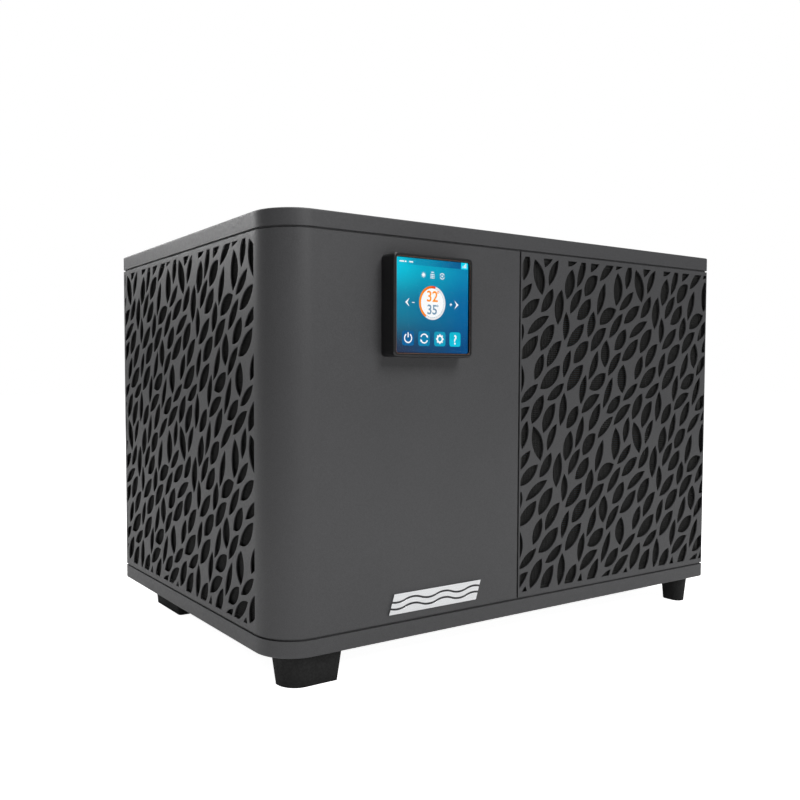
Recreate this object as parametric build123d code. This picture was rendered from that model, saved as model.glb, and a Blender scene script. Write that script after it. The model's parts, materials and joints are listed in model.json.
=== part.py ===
from build123d import *
import math
import os

# Pool heat pump unit, millimetres. +X right along the front, +Y towards the back, +Z up.
# The origin is on the ground, under the middle of the whole unit.

# Cabinet
WIDTH = 650.0
DEPTH = 414.0
FOOT_HEIGHT = 32.0
BODY_HEIGHT = 421.0
LID_BAND = 16.2
BASE_BAND = 16.7
SEAM = 2.2
SHEET = 1.5
CORNER_LARGE = 41.0
CORNER_SMALL = 6.0
CONTROL_REACH = 20.0
UNION_REACH = 60.0
PANEL_SEAM_X = -18.0

FRONT = -(CONTROL_REACH + DEPTH + UNION_REACH) / 2 + CONTROL_REACH
BACK = FRONT + DEPTH
MIDDLE = (FRONT + BACK) / 2
LEFT = -WIDTH / 2
RIGHT = WIDTH / 2
BASE_TOP = FOOT_HEIGHT + BASE_BAND
LID_TOP = FOOT_HEIGHT + BODY_HEIGHT
LID_BOTTOM = LID_TOP - LID_BAND
PANEL_LOW = BASE_TOP + SEAM
PANEL_HIGH = LID_BOTTOM - SEAM
LIP_HEIGHT = 6.0
REAR_LIP_HEIGHT = 12.0
LIP_INSET = 2.2
LIP_THICK = 1.2
RETURN = 16.0
FLOOR = FOOT_HEIGHT + 2.0
CEILING = LID_TOP - 2.0

# Leaf perforation, a tile that repeats
WINDOW_LOW = FOOT_HEIGHT + 24.5
WINDOW_HIGH = FOOT_HEIGHT + 398.0
WINDOW_MARGIN = 5.0
SIDE_WINDOW_FRONT = FRONT + CORNER_LARGE
SIDE_WINDOW_BACK = BACK - 9.0
RIGHT_WINDOW_FRONT = FRONT + RETURN + 8.0
POST_REACH = 2.4
TILE_COLUMNS = 8
TILE_ROWS = 6
TILE_WIDTH = 173.0
TILE_HEIGHT = 186.0
ROW_SHIFT = 4
LEAF_LENGTH = 37.0
LEAF_LEAN = 28.0
LEAF_WEB = 2.9
LEAF_WIDTH = 14.0
GROWTH_STEPS = 20
SCREEN_GAP = 2.4
SCREEN_THICK = 1.0
SCREEN_PITCH = 8.0
SCREEN_SLOT = 5.0

# Feet, measured on the ground; each widens a little upwards
ANCHOR_LEFT = LEFT + 41.0
ANCHOR_RIGHT = RIGHT - 27.5
ANCHOR_FRONT = FRONT + 19.5
ANCHOR_BACK = BACK - 68.5
ANCHOR_RADIUS = 3.25
LONG_FOOT_LEFT = LEFT + 19.5
LONG_FOOT_RIGHT = LEFT + 75.0
LONG_FOOT_DEEP = 23.0
SHORT_FOOT_WIDE = 18.0
SHORT_FOOT_DEEP = 26.0
REAR_FOOT_WIDE = 18.0
REAR_FOOT_DEEP = 77.0
FOOT_FRONT = FRONT + 12.0
FOOT_LARGE_CORNER = 20.0
FOOT_SMALL_CORNER = 4.0
FOOT_TAPER = 6.0
FOOT_SCREW_RADIUS = 2.5
FOOT_SCREW_HEAD = 4.6

# Fan compartment
PARTITION_X = -12.0
FAN_X = 148.0
FAN_Z = 243.0
FAN_RADIUS = 138.0
HUB_RADIUS = 34.0
BLADES = 5
BLADE_PITCH = 27.0
FAN_Y = FRONT + 48.0
SHAFT_RADIUS = 6.0
RUNNING_GAP = 0.05
MOTOR_FRONT = FAN_Y + 34.0
MOTOR_BACK = FAN_Y + 90.0
MOTOR_RADIUS = 42.0
BEARING_RADIUS = 13.0
BEARING_WIDTH = 8.0

# Evaporator coil
COIL_THICK = 26.0
COIL_FIN_PITCH = 6.0
COIL_BACK = BACK - 8.0
COIL_RIGHT = RIGHT - 9.0
COIL_LEFT = PARTITION_X + 24.0
COIL_FRONT = FRONT + 70.0
COIL_LOW = FLOOR + 12.0
COIL_HIGH = CEILING - 8.0
COIL_BEND = 50.0
TUBE_ROWS = 16
TUBE_RADIUS = 4.0

# Badge, screws and drain
BADGE_X = LEFT + 128.0
BADGE_Z = FOOT_HEIGHT + 27.0
BADGE_WIDE = 122.0
BADGE_HIGH = 20.5
BADGE_SLANT = 18.0
BADGE_WAVES = 3
BADGE_SWING = 1.8
BADGE_GAP = 2.0
SCREW_RADIUS = 2.0
SCREW_HEAD = 4.2
DRAIN_X = 84.0
DRAIN_Y = 30.0
DRAIN_RADIUS = 8.0
DRAIN_BORE = 6.0

# Controller
CONTROL_SIZE = 100.5
CONTROL_X = LEFT + 169.5
CONTROL_Z = FOOT_HEIGHT + 335.0
DISPLAY_SIZE = 93.0
BEZEL_WALL = 0.8
BEZEL_BACK = CONTROL_REACH - 3.6
DISPLAY_FRONT = BEZEL_BACK + 1.4
GLASS_FRONT = DISPLAY_FRONT + 1.4
BRACKET_SIZE = 88.0
BRACKET_THICK = 3.0
BOARD_SIZE = 78.0
BOARD_BACK = BEZEL_BACK - 8.4
BOARD_THICK = 1.6

# Compressor and water circuit
COMPRESSOR_X = -222.0
COMPRESSOR_Y = FRONT + 105.0
COMPRESSOR_RADIUS = 52.0
COMPRESSOR_WALL = 3.0
COMPRESSOR_LOW = FLOOR + 18.0
COMPRESSOR_HIGH = COMPRESSOR_LOW + 205.0
EXCHANGER_X = -222.0
EXCHANGER_Y = BACK - 142.0
EXCHANGER_RADIUS = 62.0
EXCHANGER_WALL = 5.0
EXCHANGER_LOW = FLOOR + 8.0
EXCHANGER_HIGH = EXCHANGER_LOW + 330.0
WATER_BORE = 20.0
WATER_TUBE = 24.0
SOCKET_RADIUS = 25.15
SOCKET_LENGTH = 28.0
TAIL_RADIUS = 31.0
NUT_RADIUS = 38.0
INLET_Z = FOOT_HEIGHT + 92.0
OUTLET_Z = FOOT_HEIGHT + 292.0
PIPE_RADIUS = 5.0
COMPRESSOR_BOLT = 3.0
GROMMET_NECK = 6.0
ACCUMULATOR_X = COMPRESSOR_X + 88.0
ACCUMULATOR_LOW = COMPRESSOR_LOW + 50.0
ACCUMULATOR_HIGH = COMPRESSOR_LOW + 178.0
COIL_TURN = 36.0
COIL_TURNS = 12
GAS_PORTS = (EXCHANGER_LOW + 62.0, EXCHANGER_HIGH - 62.0)
EXPANSION_X = -60.0
EXPANSION_Y = EXCHANGER_Y
EXPANSION_Z = GAS_PORTS[0]
COMPRESSOR_FOOT_CIRCLE = 64.0
VALVE_X = -76.0
VALVE_Y = FRONT + 120.0
VALVE_Z = FLOOR + 236.0
VALVE_RADIUS = 13.0
VALVE_BORE = 9.0
VALVE_TRAVEL = 12.0
PADDLE_Y = BACK - 34.0
PADDLE_PIN = 2.0
PADDLE_TOP = OUTLET_Z + WATER_TUBE + 10.0

# Rear fittings and electrics
GLAND_XS = (-118.0, -84.0, -50.0)
GLAND_Z = PANEL_LOW + 38.0
GLAND_THREAD = 8.0
GLAND_BORE = 5.0
GAUGE_X = -84.0
GAUGE_Z = OUTLET_Z + 36.0
GAUGE_STEM = 7.0
GAUGE_RADIUS = 27.0
BOX_X0, BOX_X1 = -146.0, -24.0
BOX_Y0, BOX_Y1 = FRONT + 26.0, BACK - 70.0
BOX_Z0, BOX_Z1 = CEILING - 96.0, CEILING - 6.0


def save(part, name):
    """Write one sub-part as parts/NAME.step."""
    shape = part if isinstance(part, Compound) else Compound(children=[part])
    export_step(shape, f"parts/{name}.step")


def group(pieces):
    """Several separate solids that share one node."""
    return Compound(children=[solid for piece in pieces for solid in piece.solids()])


def block(x0, x1, y0, y1, z0, z1):
    """A box between two corners."""
    centre = Pos((x0 + x1) / 2, (y0 + y1) / 2, (z0 + z1) / 2)
    return centre * Box(x1 - x0, y1 - y0, z1 - z0)


def rod(radius, start, end):
    """A round bar from one point to another, along an axis."""
    line = Vector(*end) - Vector(*start)
    upright = (Align.CENTER, Align.CENTER, Align.MIN)
    return Plane(origin=start, z_dir=line) * Cylinder(radius, line.length, align=upright)


def tube(outer, inner, start, end):
    """A round tube from one point to another."""
    return rod(outer, start, end) - rod(inner, start, end)


# ---------------------------------------------------------------- leaf perforation

def leaf_discs(leaf):
    """The two discs, as x, z and radius, whose overlap is the leaf."""
    x, z, lean, length, bulges = leaf
    discs = []
    for side, bulge in zip((1, -1), bulges):
        radius = ((length / 2) ** 2 + bulge ** 2) / (2 * bulge)
        reach = side * (bulge - radius)
        discs.append((x + reach * math.cos(lean), z - reach * math.sin(lean), radius))
    return discs


def leaf_rim(leaf, steps=4):
    """Points along the leaf's two edges."""
    lean, length = leaf[2], leaf[3]
    rim = []
    for side, (cx, cz, radius) in zip((1, -1), leaf_discs(leaf)):
        half = math.asin(length / 2 / radius)
        for step in range(-steps, steps + 1):
            turn = half * step / steps
            out = side * math.cos(turn)
            along = math.sin(turn)
            rim.append((cx + radius * (out * math.cos(lean) + along * math.sin(lean)),
                        cz + radius * (along * math.cos(lean) - out * math.sin(lean))))
    return rim


def disc_gap(rim, discs, dx, dz):
    """Least distance from a rim to a leaf that is moved by dx, dz."""
    return min(max(math.hypot(x - cx - dx, z - cz - dz) - r for cx, cz, r in discs) for x, z in rim)


def web_around(leaf, neighbours):
    """The narrowest web of metal between a leaf and its neighbours."""
    rim, discs = leaf_rim(leaf), leaf_discs(leaf)
    worst = TILE_WIDTH
    for other, dx, dz in neighbours:
        worst = min(worst, disc_gap(rim, leaf_discs(other), dx, dz),
                    disc_gap(leaf_rim(other), discs, -dx, -dz))
    return worst


def seed_leaves():
    """Small leaves on a staggered lattice, each with its own lean."""
    leaves = []
    for row in range(TILE_ROWS):
        for column in range(TILE_COLUMNS):
            k = row * TILE_COLUMNS + column
            x = column + row * ROW_SHIFT / TILE_ROWS + 0.09 * math.sin(3.7 * k)
            z = row + 0.5 * (column % 2) + 0.09 * math.sin(2.9 * k + 1)
            lean = LEAF_LEAN + 16 * math.sin(2.1 * k + 0.4) + 9 * math.sin(5.3 * k + 1)
            leaves.append((x * TILE_WIDTH / TILE_COLUMNS, z * TILE_HEIGHT / TILE_ROWS,
                           math.radians(lean), LEAF_LENGTH * 0.5, (2.5, 2.5)))
    return leaves


def nearby(leaves, leaf):
    """Index and tile offset of every leaf close to this one."""
    reach = 1.25 * LEAF_LENGTH
    found = []
    for index, other in enumerate(leaves):
        for dx in (-2 * TILE_WIDTH, -TILE_WIDTH, 0, TILE_WIDTH):
            for dz in (-TILE_HEIGHT, 0, TILE_HEIGHT):
                distance = math.hypot(other[0] + dx - leaf[0], other[1] + dz - leaf[1])
                if 1 < distance < reach:
                    found.append((index, dx, dz))
    return found


def settle(leaf, neighbours):
    """Move and turn a leaf a little, to where its webs are widest."""
    x, z, lean, length, bulges = leaf
    nudge, turn = 1.1, 0.06
    trials = [leaf]
    for sign in (1, -1):
        trials.append((x + sign * nudge, z, lean, length, bulges))
        trials.append((x, z + sign * nudge, lean, length, bulges))
        trials.append((x, z, lean + sign * turn, length, bulges))
    return max(trials, key=lambda trial: web_around(trial, neighbours))


def grow(leaf, neighbours, k):
    """Make a leaf longer and wider while its webs stay wide enough."""
    x, z, lean, length, bulges = leaf
    share = 0.5 + 0.14 * math.sin(1.9 * k)
    longest = LEAF_LENGTH * (1 + 0.12 * math.sin(4.1 * k))
    widest = LEAF_WIDTH * (1 + 0.22 * math.sin(3.3 * k))
    for longer, wider in ((1.8, 1.0), (1.8, 0), (0, 1.0)):
        width = min(sum(bulges) + wider, widest)
        grown = max(length, min(length + longer, longest))
        trial = (x, z, lean, grown, (width * share, width * (1 - share)))
        if web_around(trial, neighbours) >= LEAF_WEB:
            return trial
    return leaf


def leaf_tile():
    """The leaves of one tile, grown until the webs between them are even."""
    leaves = seed_leaves()
    close = [nearby(leaves, leaf) for leaf in leaves]
    for _ in range(GROWTH_STEPS):
        for k, leaf in enumerate(leaves):
            neighbours = [(leaves[index], dx, dz) for index, dx, dz in close[k]]
            leaves[k] = grow(settle(leaf, neighbours), neighbours, k)
    return leaves


def leaf_face(leaf, dx, dz):
    """One leaf-shaped face: two arcs from tip to tip."""
    x, z, lean, length, bulges = leaf
    along = Vector(math.sin(lean), math.cos(lean)) * (length / 2)
    across = Vector(math.cos(lean), -math.sin(lean))
    middle = Vector(x + dx, z + dz)
    top, bottom = middle + along, middle - along
    right = ThreePointArc(bottom, middle + across * bulges[0], top)
    left = ThreePointArc(top, middle - across * bulges[1], bottom)
    return make_face([right, left])


def leaf_holes(tile, u0, u1, z0, z1):
    """Every leaf of the repeated tile, clipped to a window."""
    window = Pos((u0 + u1) / 2, (z0 + z1) / 2) * Rectangle(u1 - u0, z1 - z0)
    smallest = 12.0
    holes = []
    for leaf in tile:
        for across in range(math.floor(u0 / TILE_WIDTH) - 3, math.ceil(u1 / TILE_WIDTH) + 2):
            for up in range(math.floor(z0 / TILE_HEIGHT) - 2, math.ceil(z1 / TILE_HEIGHT) + 2):
                dx, dz = across * TILE_WIDTH, up * TILE_HEIGHT
                reach = leaf[3] / 2
                x, z = leaf[0] + dx, leaf[1] + dz
                if not (u0 - reach < x < u1 + reach and z0 - reach < z < z1 + reach):
                    continue
                face = leaf_face(leaf, dx, dz)
                if not (u0 + reach < x < u1 - reach and z0 + reach < z < z1 - reach):
                    face = face & window
                holes += [piece for piece in face.faces() if piece.area > smallest]
    return holes


# ---------------------------------------------------------------- cabinet

def footprint(inset):
    """The cabinet's plan, drawn in by inset all round."""
    plan = Rectangle(WIDTH - 2 * inset, DEPTH - 2 * inset)
    small = max(CORNER_SMALL - inset, 0.8)
    plan = fillet(plan.vertices().sort_by(lambda v: v.X + v.Y)[1:], small)
    plan = fillet(plan.vertices().sort_by(lambda v: v.X + v.Y)[0], CORNER_LARGE - inset)
    return Pos(0, MIDDLE) * plan


def prism(inset, z0, z1):
    """The cabinet's plan raised from z0 to z1."""
    return Pos(0, 0, z0) * extrude(footprint(inset), z1 - z0)


def ring(inset, thick, z0, z1):
    """A wall that follows the cabinet's plan."""
    return prism(inset, z0, z1) - prism(inset + thick, z0, z1)


def anchor_places():
    """Centre of each anchor hole, front pair first; the four make a rectangle."""
    return [(ANCHOR_LEFT, ANCHOR_FRONT), (ANCHOR_RIGHT, ANCHOR_FRONT),
            (ANCHOR_LEFT, ANCHOR_BACK), (ANCHOR_RIGHT, ANCHOR_BACK)]


def foot_screw_places():
    """Screw of each foot, beside its anchor hole."""
    return [(ANCHOR_LEFT + 20, ANCHOR_FRONT), (ANCHOR_RIGHT, ANCHOR_FRONT + 11),
            (ANCHOR_LEFT, ANCHOR_BACK + 20), (ANCHOR_RIGHT, ANCHOR_BACK + 20)]


def rear_lip(z0, z1):
    """Taller stretch of a lip along the back, which the panel screws go into."""
    outer = BACK - LIP_INSET
    return block(LEFT + 12, RIGHT - 12, outer - LIP_THICK, outer, z0, z1)


def base_pan():
    """Tray with a band that shows, a raised lip behind the seam and a drain hole."""
    pan = prism(0, FOOT_HEIGHT, BASE_TOP)
    pan = fillet(pan.faces().sort_by(Axis.Z)[0].edges(), 2.4)
    pan -= prism(SHEET, FLOOR, BASE_TOP)
    pan += ring(LIP_INSET, LIP_THICK, FLOOR - 0.5, BASE_TOP + LIP_HEIGHT)
    pan += ring(SHEET - 0.2, LIP_INSET - SHEET + 0.4, BASE_TOP - 3, BASE_TOP)
    pan += rear_lip(BASE_TOP - 3, BASE_TOP + REAR_LIP_HEIGHT)
    for x, y in anchor_places():
        pan -= rod(ANCHOR_RADIUS, (x, y, 0), (x, y, BASE_TOP))
    for x, y in foot_screw_places():
        pan -= rod(FOOT_SCREW_RADIUS + RUNNING_GAP, (x, y, 0), (x, y, BASE_TOP))
    pan -= rod(DRAIN_RADIUS, (DRAIN_X, DRAIN_Y, 0), (DRAIN_X, DRAIN_Y, BASE_TOP))
    for x in (FAN_X - 96, FAN_X - 32, FAN_X + 32, FAN_X + 96):
        pan += block(x - 3, x + 3, BACK - 120, BACK - 9, FLOOR - 0.5, COIL_LOW)
    pan += block(COIL_RIGHT - 16, COIL_RIGHT - 10, COIL_FRONT, BACK - 120, FLOOR - 0.5, COIL_LOW)
    for x, z in panel_screw_places():
        pan -= rod(SCREW_RADIUS, (x, BACK - 10, z), (x, BACK + 1, z))
    for x, y in compressor_feet():
        pan -= rod(COMPRESSOR_BOLT, (x, y, 0), (x, y, BASE_TOP))
    return pan


def lid():
    """Shallow cap with a skirt and a lip behind the seam."""
    cap = prism(0, LID_BOTTOM, LID_TOP)
    cap = fillet(cap.faces().sort_by(Axis.Z)[-1].edges(), 1.6)
    cap -= prism(SHEET, LID_BOTTOM, CEILING)
    cap += ring(LIP_INSET, LIP_THICK, LID_BOTTOM - LIP_HEIGHT, CEILING + 0.5)
    cap += ring(SHEET - 0.2, LIP_INSET - SHEET + 0.4, LID_BOTTOM, LID_BOTTOM + 3)
    cap += rear_lip(LID_BOTTOM - REAR_LIP_HEIGHT, LID_BOTTOM + 3)
    for x in (LEFT + 110, 0, RIGHT - 110):
        cap += block(x - 4, x + 4, FRONT + 30, BACK - 30, CEILING - 3, CEILING + 0.5)
    for x, z in lid_screw_places() + panel_screw_places():
        cap -= rod(SCREW_RADIUS, (x, BACK - 8, z), (x, BACK + 1, z))
    return cap


def lid_screw_places():
    return [(x, (LID_BOTTOM + LID_TOP) / 2) for x in (LEFT + 60, PANEL_SEAM_X + 30, RIGHT - 60)]


def panel_screw_places():
    """Screws through the rear panels into the lips of the lid and base."""
    low, high = BASE_TOP + 7.0, LID_BOTTOM - 7.0
    columns = (LEFT + 40, PANEL_SEAM_X - 22, PANEL_SEAM_X + 24, RIGHT - 40)
    return [(x, z) for x in columns for z in (low, high)]


def cabinet_skin():
    """The sheet that wraps the whole cabinet, before it is cut into panels."""
    return ring(0, SHEET, PANEL_LOW, PANEL_HIGH)


def left_wrap_panel(skin, holes):
    """One sheet: rear return, perforated side, large corner and plain front half."""
    outside = Plane(origin=(LEFT, 0, 0), x_dir=(0, -1, 0), z_dir=(-1, 0, 0))
    panel = skin & block(LEFT - 1, PANEL_SEAM_X - SEAM / 2, FRONT - 1, BACK + 1, PANEL_LOW, PANEL_HIGH)
    panel -= block(LEFT + RETURN, RIGHT, BACK - 5, BACK + 1, PANEL_LOW, PANEL_HIGH)
    panel -= Compound(children=[extrude(outside * face, 8, both=True) for face in holes])
    panel -= block(CONTROL_X - 14, CONTROL_X + 14, FRONT - 1, FRONT + 3, CONTROL_Z - 10, CONTROL_Z + 10)
    return panel


def front_grille_panel(skin, holes):
    """Perforated front half, bent round the right-hand corner."""
    panel = skin & block(PANEL_SEAM_X + SEAM / 2, RIGHT + 1, FRONT - 1, FRONT + RETURN, PANEL_LOW, PANEL_HIGH)
    cutters = [extrude(Plane.XZ * face, 4, both=True) for face in holes]
    return panel - Pos(0, FRONT, 0) * Compound(children=cutters)


def right_grille_panel(skin, holes):
    """Perforated right side with a rear return."""
    panel = skin & block(RIGHT - RETURN, RIGHT + 1, FRONT + RETURN + SEAM, BACK + 1, PANEL_LOW, PANEL_HIGH)
    cutters = [extrude(Plane.YZ * face, 8, both=True) for face in holes]
    return panel - Pos(RIGHT, 0, 0) * Compound(children=cutters)


def rear_service_panel():
    """Plain rear sheet with holes for the unions, glands, gauge and screws."""
    panel = block(LEFT + RETURN + SEAM, PANEL_SEAM_X - SEAM / 2, BACK - SHEET, BACK, PANEL_LOW, PANEL_HIGH)
    for z in (INLET_Z, OUTLET_Z):
        panel -= rod(WATER_TUBE + 2, (EXCHANGER_X, BACK - 5, z), (EXCHANGER_X, BACK + 1, z))
    for x in GLAND_XS:
        panel -= rod(GLAND_THREAD + 0.3, (x, BACK - 5, GLAND_Z), (x, BACK + 1, GLAND_Z))
    panel -= rod(GAUGE_STEM, (GAUGE_X, BACK - 5, GAUGE_Z), (GAUGE_X, BACK + 1, GAUGE_Z))
    for x, z in panel_screw_places()[:4]:
        panel -= rod(SCREW_RADIUS, (x, BACK - 5, z), (x, BACK + 1, z))
    for row in range(8):
        z = (INLET_Z + OUTLET_Z) / 2 - 42 + 12 * row
        slot = Pos(-92, z) * SlotOverall(70, 4)
        panel -= Pos(0, BACK, 0) * extrude(Plane.XZ * slot, 4, both=True)
    return panel


def rear_coil_guard():
    """Pressed frame with a grid of bars over the coil."""
    border, bar, overlap = 16.0, 1.3, 2.0
    rows, columns = 12, 18
    x0, x1 = PANEL_SEAM_X + SEAM / 2, RIGHT - RETURN - SEAM
    left, right = x0 + border, x1 - border
    low, high = PANEL_LOW + border, PANEL_HIGH - border
    guard = block(x0, x1, BACK - SHEET, BACK, PANEL_LOW, PANEL_HIGH)
    guard -= block(left, right, BACK - 5, BACK + 1, low, high)
    y0, y1 = BACK - SHEET, BACK - 0.2
    for row in range(1, rows):
        z = low + (high - low) * row / rows
        guard += block(left - overlap, right + overlap, y0, y1, z - bar, z + bar)
    for column in range(1, columns):
        x = left + (right - left) * column / columns
        guard += block(x - bar, x + bar, y0, y1, low - overlap, high + overlap)
    for x, z in panel_screw_places()[4:]:
        guard -= rod(SCREW_RADIUS, (x, BACK - 5, z), (x, BACK + 1, z))
    return guard


def screen(u0, u1, across):
    """Slotted black screen that stands behind a perforated window; across is X or Y."""
    z0, z1 = PANEL_LOW + 2.0, PANEL_HIGH - 2.0
    sheet = Pos((u0 + u1) / 2, (z0 + z1) / 2) * Rectangle(u1 - u0, z1 - z0)
    border = 5.0
    count = int((u1 - u0 - 2 * border) // SCREEN_PITCH)
    height = (z1 - z0) / 2 - 1.5 * border
    slots = []
    for index in range(count):
        u = (u0 + u1) / 2 + (index - (count - 1) / 2) * SCREEN_PITCH
        for z in (z0 + border + height / 2, z1 - border - height / 2):
            slots.append(Pos(u, z) * Rectangle(SCREEN_SLOT, height))
    plane = Plane.XZ if across == "X" else Plane.YZ
    return extrude(plane * (sheet - slots), SCREEN_THICK / 2, both=True)


def front_screen():
    y = FRONT + SHEET + SCREEN_GAP + SCREEN_THICK / 2
    return Pos(0, y, 0) * screen(PANEL_SEAM_X + POST_REACH + 0.6, RIGHT - 8, "X")


def side_screens():
    x = WIDTH / 2 - SHEET - SCREEN_GAP - SCREEN_THICK / 2
    left = Pos(-x, 0, 0) * screen(SIDE_WINDOW_FRONT - 2, BACK - 6, "Y")
    right = Pos(x, 0, 0) * screen(RIGHT_WINDOW_FRONT - 0.6, BACK - 6, "Y")
    return group([left, right])


def inner_posts():
    """Folded uprights behind the seams, standing on the tray floor."""
    z0, z1 = FLOOR, CEILING - 3.2
    front = block(PANEL_SEAM_X - 9, PANEL_SEAM_X + POST_REACH, FRONT + 3.6, FRONT + 4.8, z0, z1)
    front += block(PANEL_SEAM_X - 9, PANEL_SEAM_X - 7.8, FRONT + 3.6, FRONT + 16, z0, z1)
    rear = block(PANEL_SEAM_X - 11, PANEL_SEAM_X + 12, BACK - 4.8, BACK - 3.6, z0, z1)
    rear += block(PANEL_SEAM_X - 11, PANEL_SEAM_X - 9.8, BACK - 16, BACK - 3.6, z0, z1)
    posts = [front, rear]
    for side in (-1, 1):
        edge = side * (WIDTH / 2 - 5.0)
        thin = side * 1.2
        arm = side * 12
        post = block(min(edge - thin, edge), max(edge - thin, edge), BACK - 13, BACK - 5, z0, z1)
        post += block(min(edge - arm, edge), max(edge - arm, edge), BACK - 6.2, BACK - 5, z0, z1)
        posts.append(post)
    x = RIGHT - 3.6
    corner = block(x - 1.2, x, FRONT + 6, RIGHT_WINDOW_FRONT - 1.2, z0, z1)
    posts.append(corner)
    return group(posts)


def foot(plan, anchor, screw):
    """Rubber block that widens upwards, with an anchor hole and a recess for its screw."""
    (x, y), (screw_x, screw_y) = anchor, screw
    body = extrude(plan, FOOT_HEIGHT, taper=-FOOT_TAPER)
    body -= rod(ANCHOR_RADIUS, (x, y, -1), (x, y, FOOT_HEIGHT + 1))
    body -= rod(FOOT_SCREW_RADIUS + RUNNING_GAP, (screw_x, screw_y, -1), (screw_x, screw_y, FOOT_HEIGHT + 1))
    return body - rod(FOOT_SCREW_HEAD + 0.5, (screw_x, screw_y, -1), (screw_x, screw_y, 18))


def foot_plan(x0, x1, y0, y1, corner):
    """Outline of a foot on the ground."""
    plan = Pos((x0 + x1) / 2, (y0 + y1) / 2) * Rectangle(x1 - x0, y1 - y0)
    return fillet(plan.vertices(), corner)


def long_foot_plan():
    """Outline of the foot under the large corner, whose own corner follows it."""
    x0, x1 = LONG_FOOT_LEFT, LONG_FOOT_RIGHT
    y0, y1 = FOOT_FRONT, FOOT_FRONT + LONG_FOOT_DEEP
    plan = Pos((x0 + x1) / 2, (y0 + y1) / 2) * Rectangle(x1 - x0, y1 - y0)
    near = plan.vertices().sort_by(lambda v: v.X + v.Y)[0]
    return fillet(near, FOOT_LARGE_CORNER)


def front_feet():
    anchors, screws = anchor_places(), foot_screw_places()
    left = long_foot_plan()
    half = SHORT_FOOT_WIDE / 2
    right = foot_plan(ANCHOR_RIGHT - half, ANCHOR_RIGHT + half,
                      FOOT_FRONT, FOOT_FRONT + SHORT_FOOT_DEEP, 2 * FOOT_SMALL_CORNER)
    return group([foot(left, anchors[0], screws[0]), foot(right, anchors[1], screws[1])])


def rear_feet():
    half, deep = REAR_FOOT_WIDE / 2, REAR_FOOT_DEEP / 2
    feet = []
    for (x, y), screw in zip(anchor_places()[2:], foot_screw_places()[2:]):
        plan = foot_plan(x - half, x + half, y - deep, y + deep, FOOT_SMALL_CORNER)
        feet.append(foot(plan, (x, y), screw))
    return group(feet)


def foot_screws():
    """Four screws with nuts, each from the recess in a foot up through the tray."""
    screws = []
    for x, y in foot_screw_places():
        screw = rod(FOOT_SCREW_RADIUS, (x, y, 14), (x, y, FLOOR + 8))
        screw += rod(FOOT_SCREW_HEAD, (x, y, 14), (x, y, 18))
        nut = Pos(x, y, FLOOR + 4) * extrude(RegularPolygon(5, 6), 4)
        screws += [screw, nut - rod(FOOT_SCREW_RADIUS, (x, y, 0), (x, y, 60))]
    return screws


def cabinet_screws():
    """Pan-head screws at the back: lid skirt and rear panels."""
    screws = []
    for x, z in lid_screw_places() + panel_screw_places():
        head = rod(SCREW_HEAD, (x, BACK, z), (x, BACK + 2.2, z))
        head = fillet(head.faces().sort_by(Axis.Y)[-1].edges(), 1.2)
        head -= Pos(x, BACK + 2.2, z) * Box(5.0, 1.8, 1.0)
        head -= Pos(x, BACK + 2.2, z) * Box(1.0, 1.8, 5.0)
        screws.append(head + rod(SCREW_RADIUS - 0.05, (x, BACK - 7, z), (x, BACK, z)))
    return group(screws)


def wave_line(z):
    """A row of arcs that swing up and down, left to right at one height."""
    half = BADGE_WIDE / BADGE_WAVES / 2
    arcs = []
    for index in range(-2, 2 * BADGE_WAVES + 2):
        start = Vector(index * half, z)
        swing = BADGE_SWING if index % 2 else -BADGE_SWING
        arcs.append(ThreePointArc(start, start + Vector(half / 2, swing), start + Vector(half, 0)))
    return arcs


def wave_badge():
    """Slanted bar cut lengthways into three by two gaps shaped like waves."""
    lean = BADGE_HIGH * math.tan(math.radians(BADGE_SLANT))
    corners = [(0, 0), (BADGE_WIDE - lean, 0), (BADGE_WIDE, BADGE_HIGH), (lean, BADGE_HIGH)]
    bar = make_face(Polyline(*corners, close=True))
    for z in (BADGE_HIGH / 3, BADGE_HIGH * 2 / 3):
        low, high = wave_line(z - BADGE_GAP / 2), wave_line(z + BADGE_GAP / 2)
        ends = [Line(low[0] @ 0, high[0] @ 0), Line(low[-1] @ 1, high[-1] @ 1)]
        bar -= make_face(low + high + ends)
    pieces = [extrude(Plane.XZ * face, 2.2) for face in bar.faces()]
    return group([Pos(BADGE_X, FRONT, BADGE_Z) * piece for piece in pieces])


# ---------------------------------------------------------------- controller

def control_plate(size, y0, y1, corner, x=0.0, z=0.0):
    """Rounded square plate of the controller between two depths in front of the cabinet."""
    plate = extrude(Plane.XZ * RectangleRounded(size, size, corner), y1 - y0)
    return Pos(CONTROL_X + x, FRONT - y0, CONTROL_Z + z) * plate


def controller_bracket():
    """Wall plate that the controller clips on."""
    plate = control_plate(BRACKET_SIZE, 0, BRACKET_THICK, 4)
    return plate - block(CONTROL_X - 14, CONTROL_X + 14, FRONT - 9, FRONT, CONTROL_Z - 10, CONTROL_Z + 10)


def controller_housing():
    """Black shell, open at the back over the bracket and at the front for the screen."""
    shell = control_plate(CONTROL_SIZE, 0, CONTROL_REACH, 5.0)
    shell = fillet(shell.faces().sort_by(Axis.Y)[0].edges(), 1.6)
    shell -= control_plate(BRACKET_SIZE + 0.6, -1, BRACKET_THICK + 0.2, 4)
    shell -= control_plate(BRACKET_SIZE - 4, 0, BEZEL_BACK - 1.4, 4)
    shell -= control_plate(DISPLAY_SIZE + 2 * BEZEL_WALL, BEZEL_BACK, CONTROL_REACH + 1, 3)
    return shell - control_plate(BOARD_SIZE + 2, BEZEL_BACK - 2, BEZEL_BACK + 1, 3)


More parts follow.
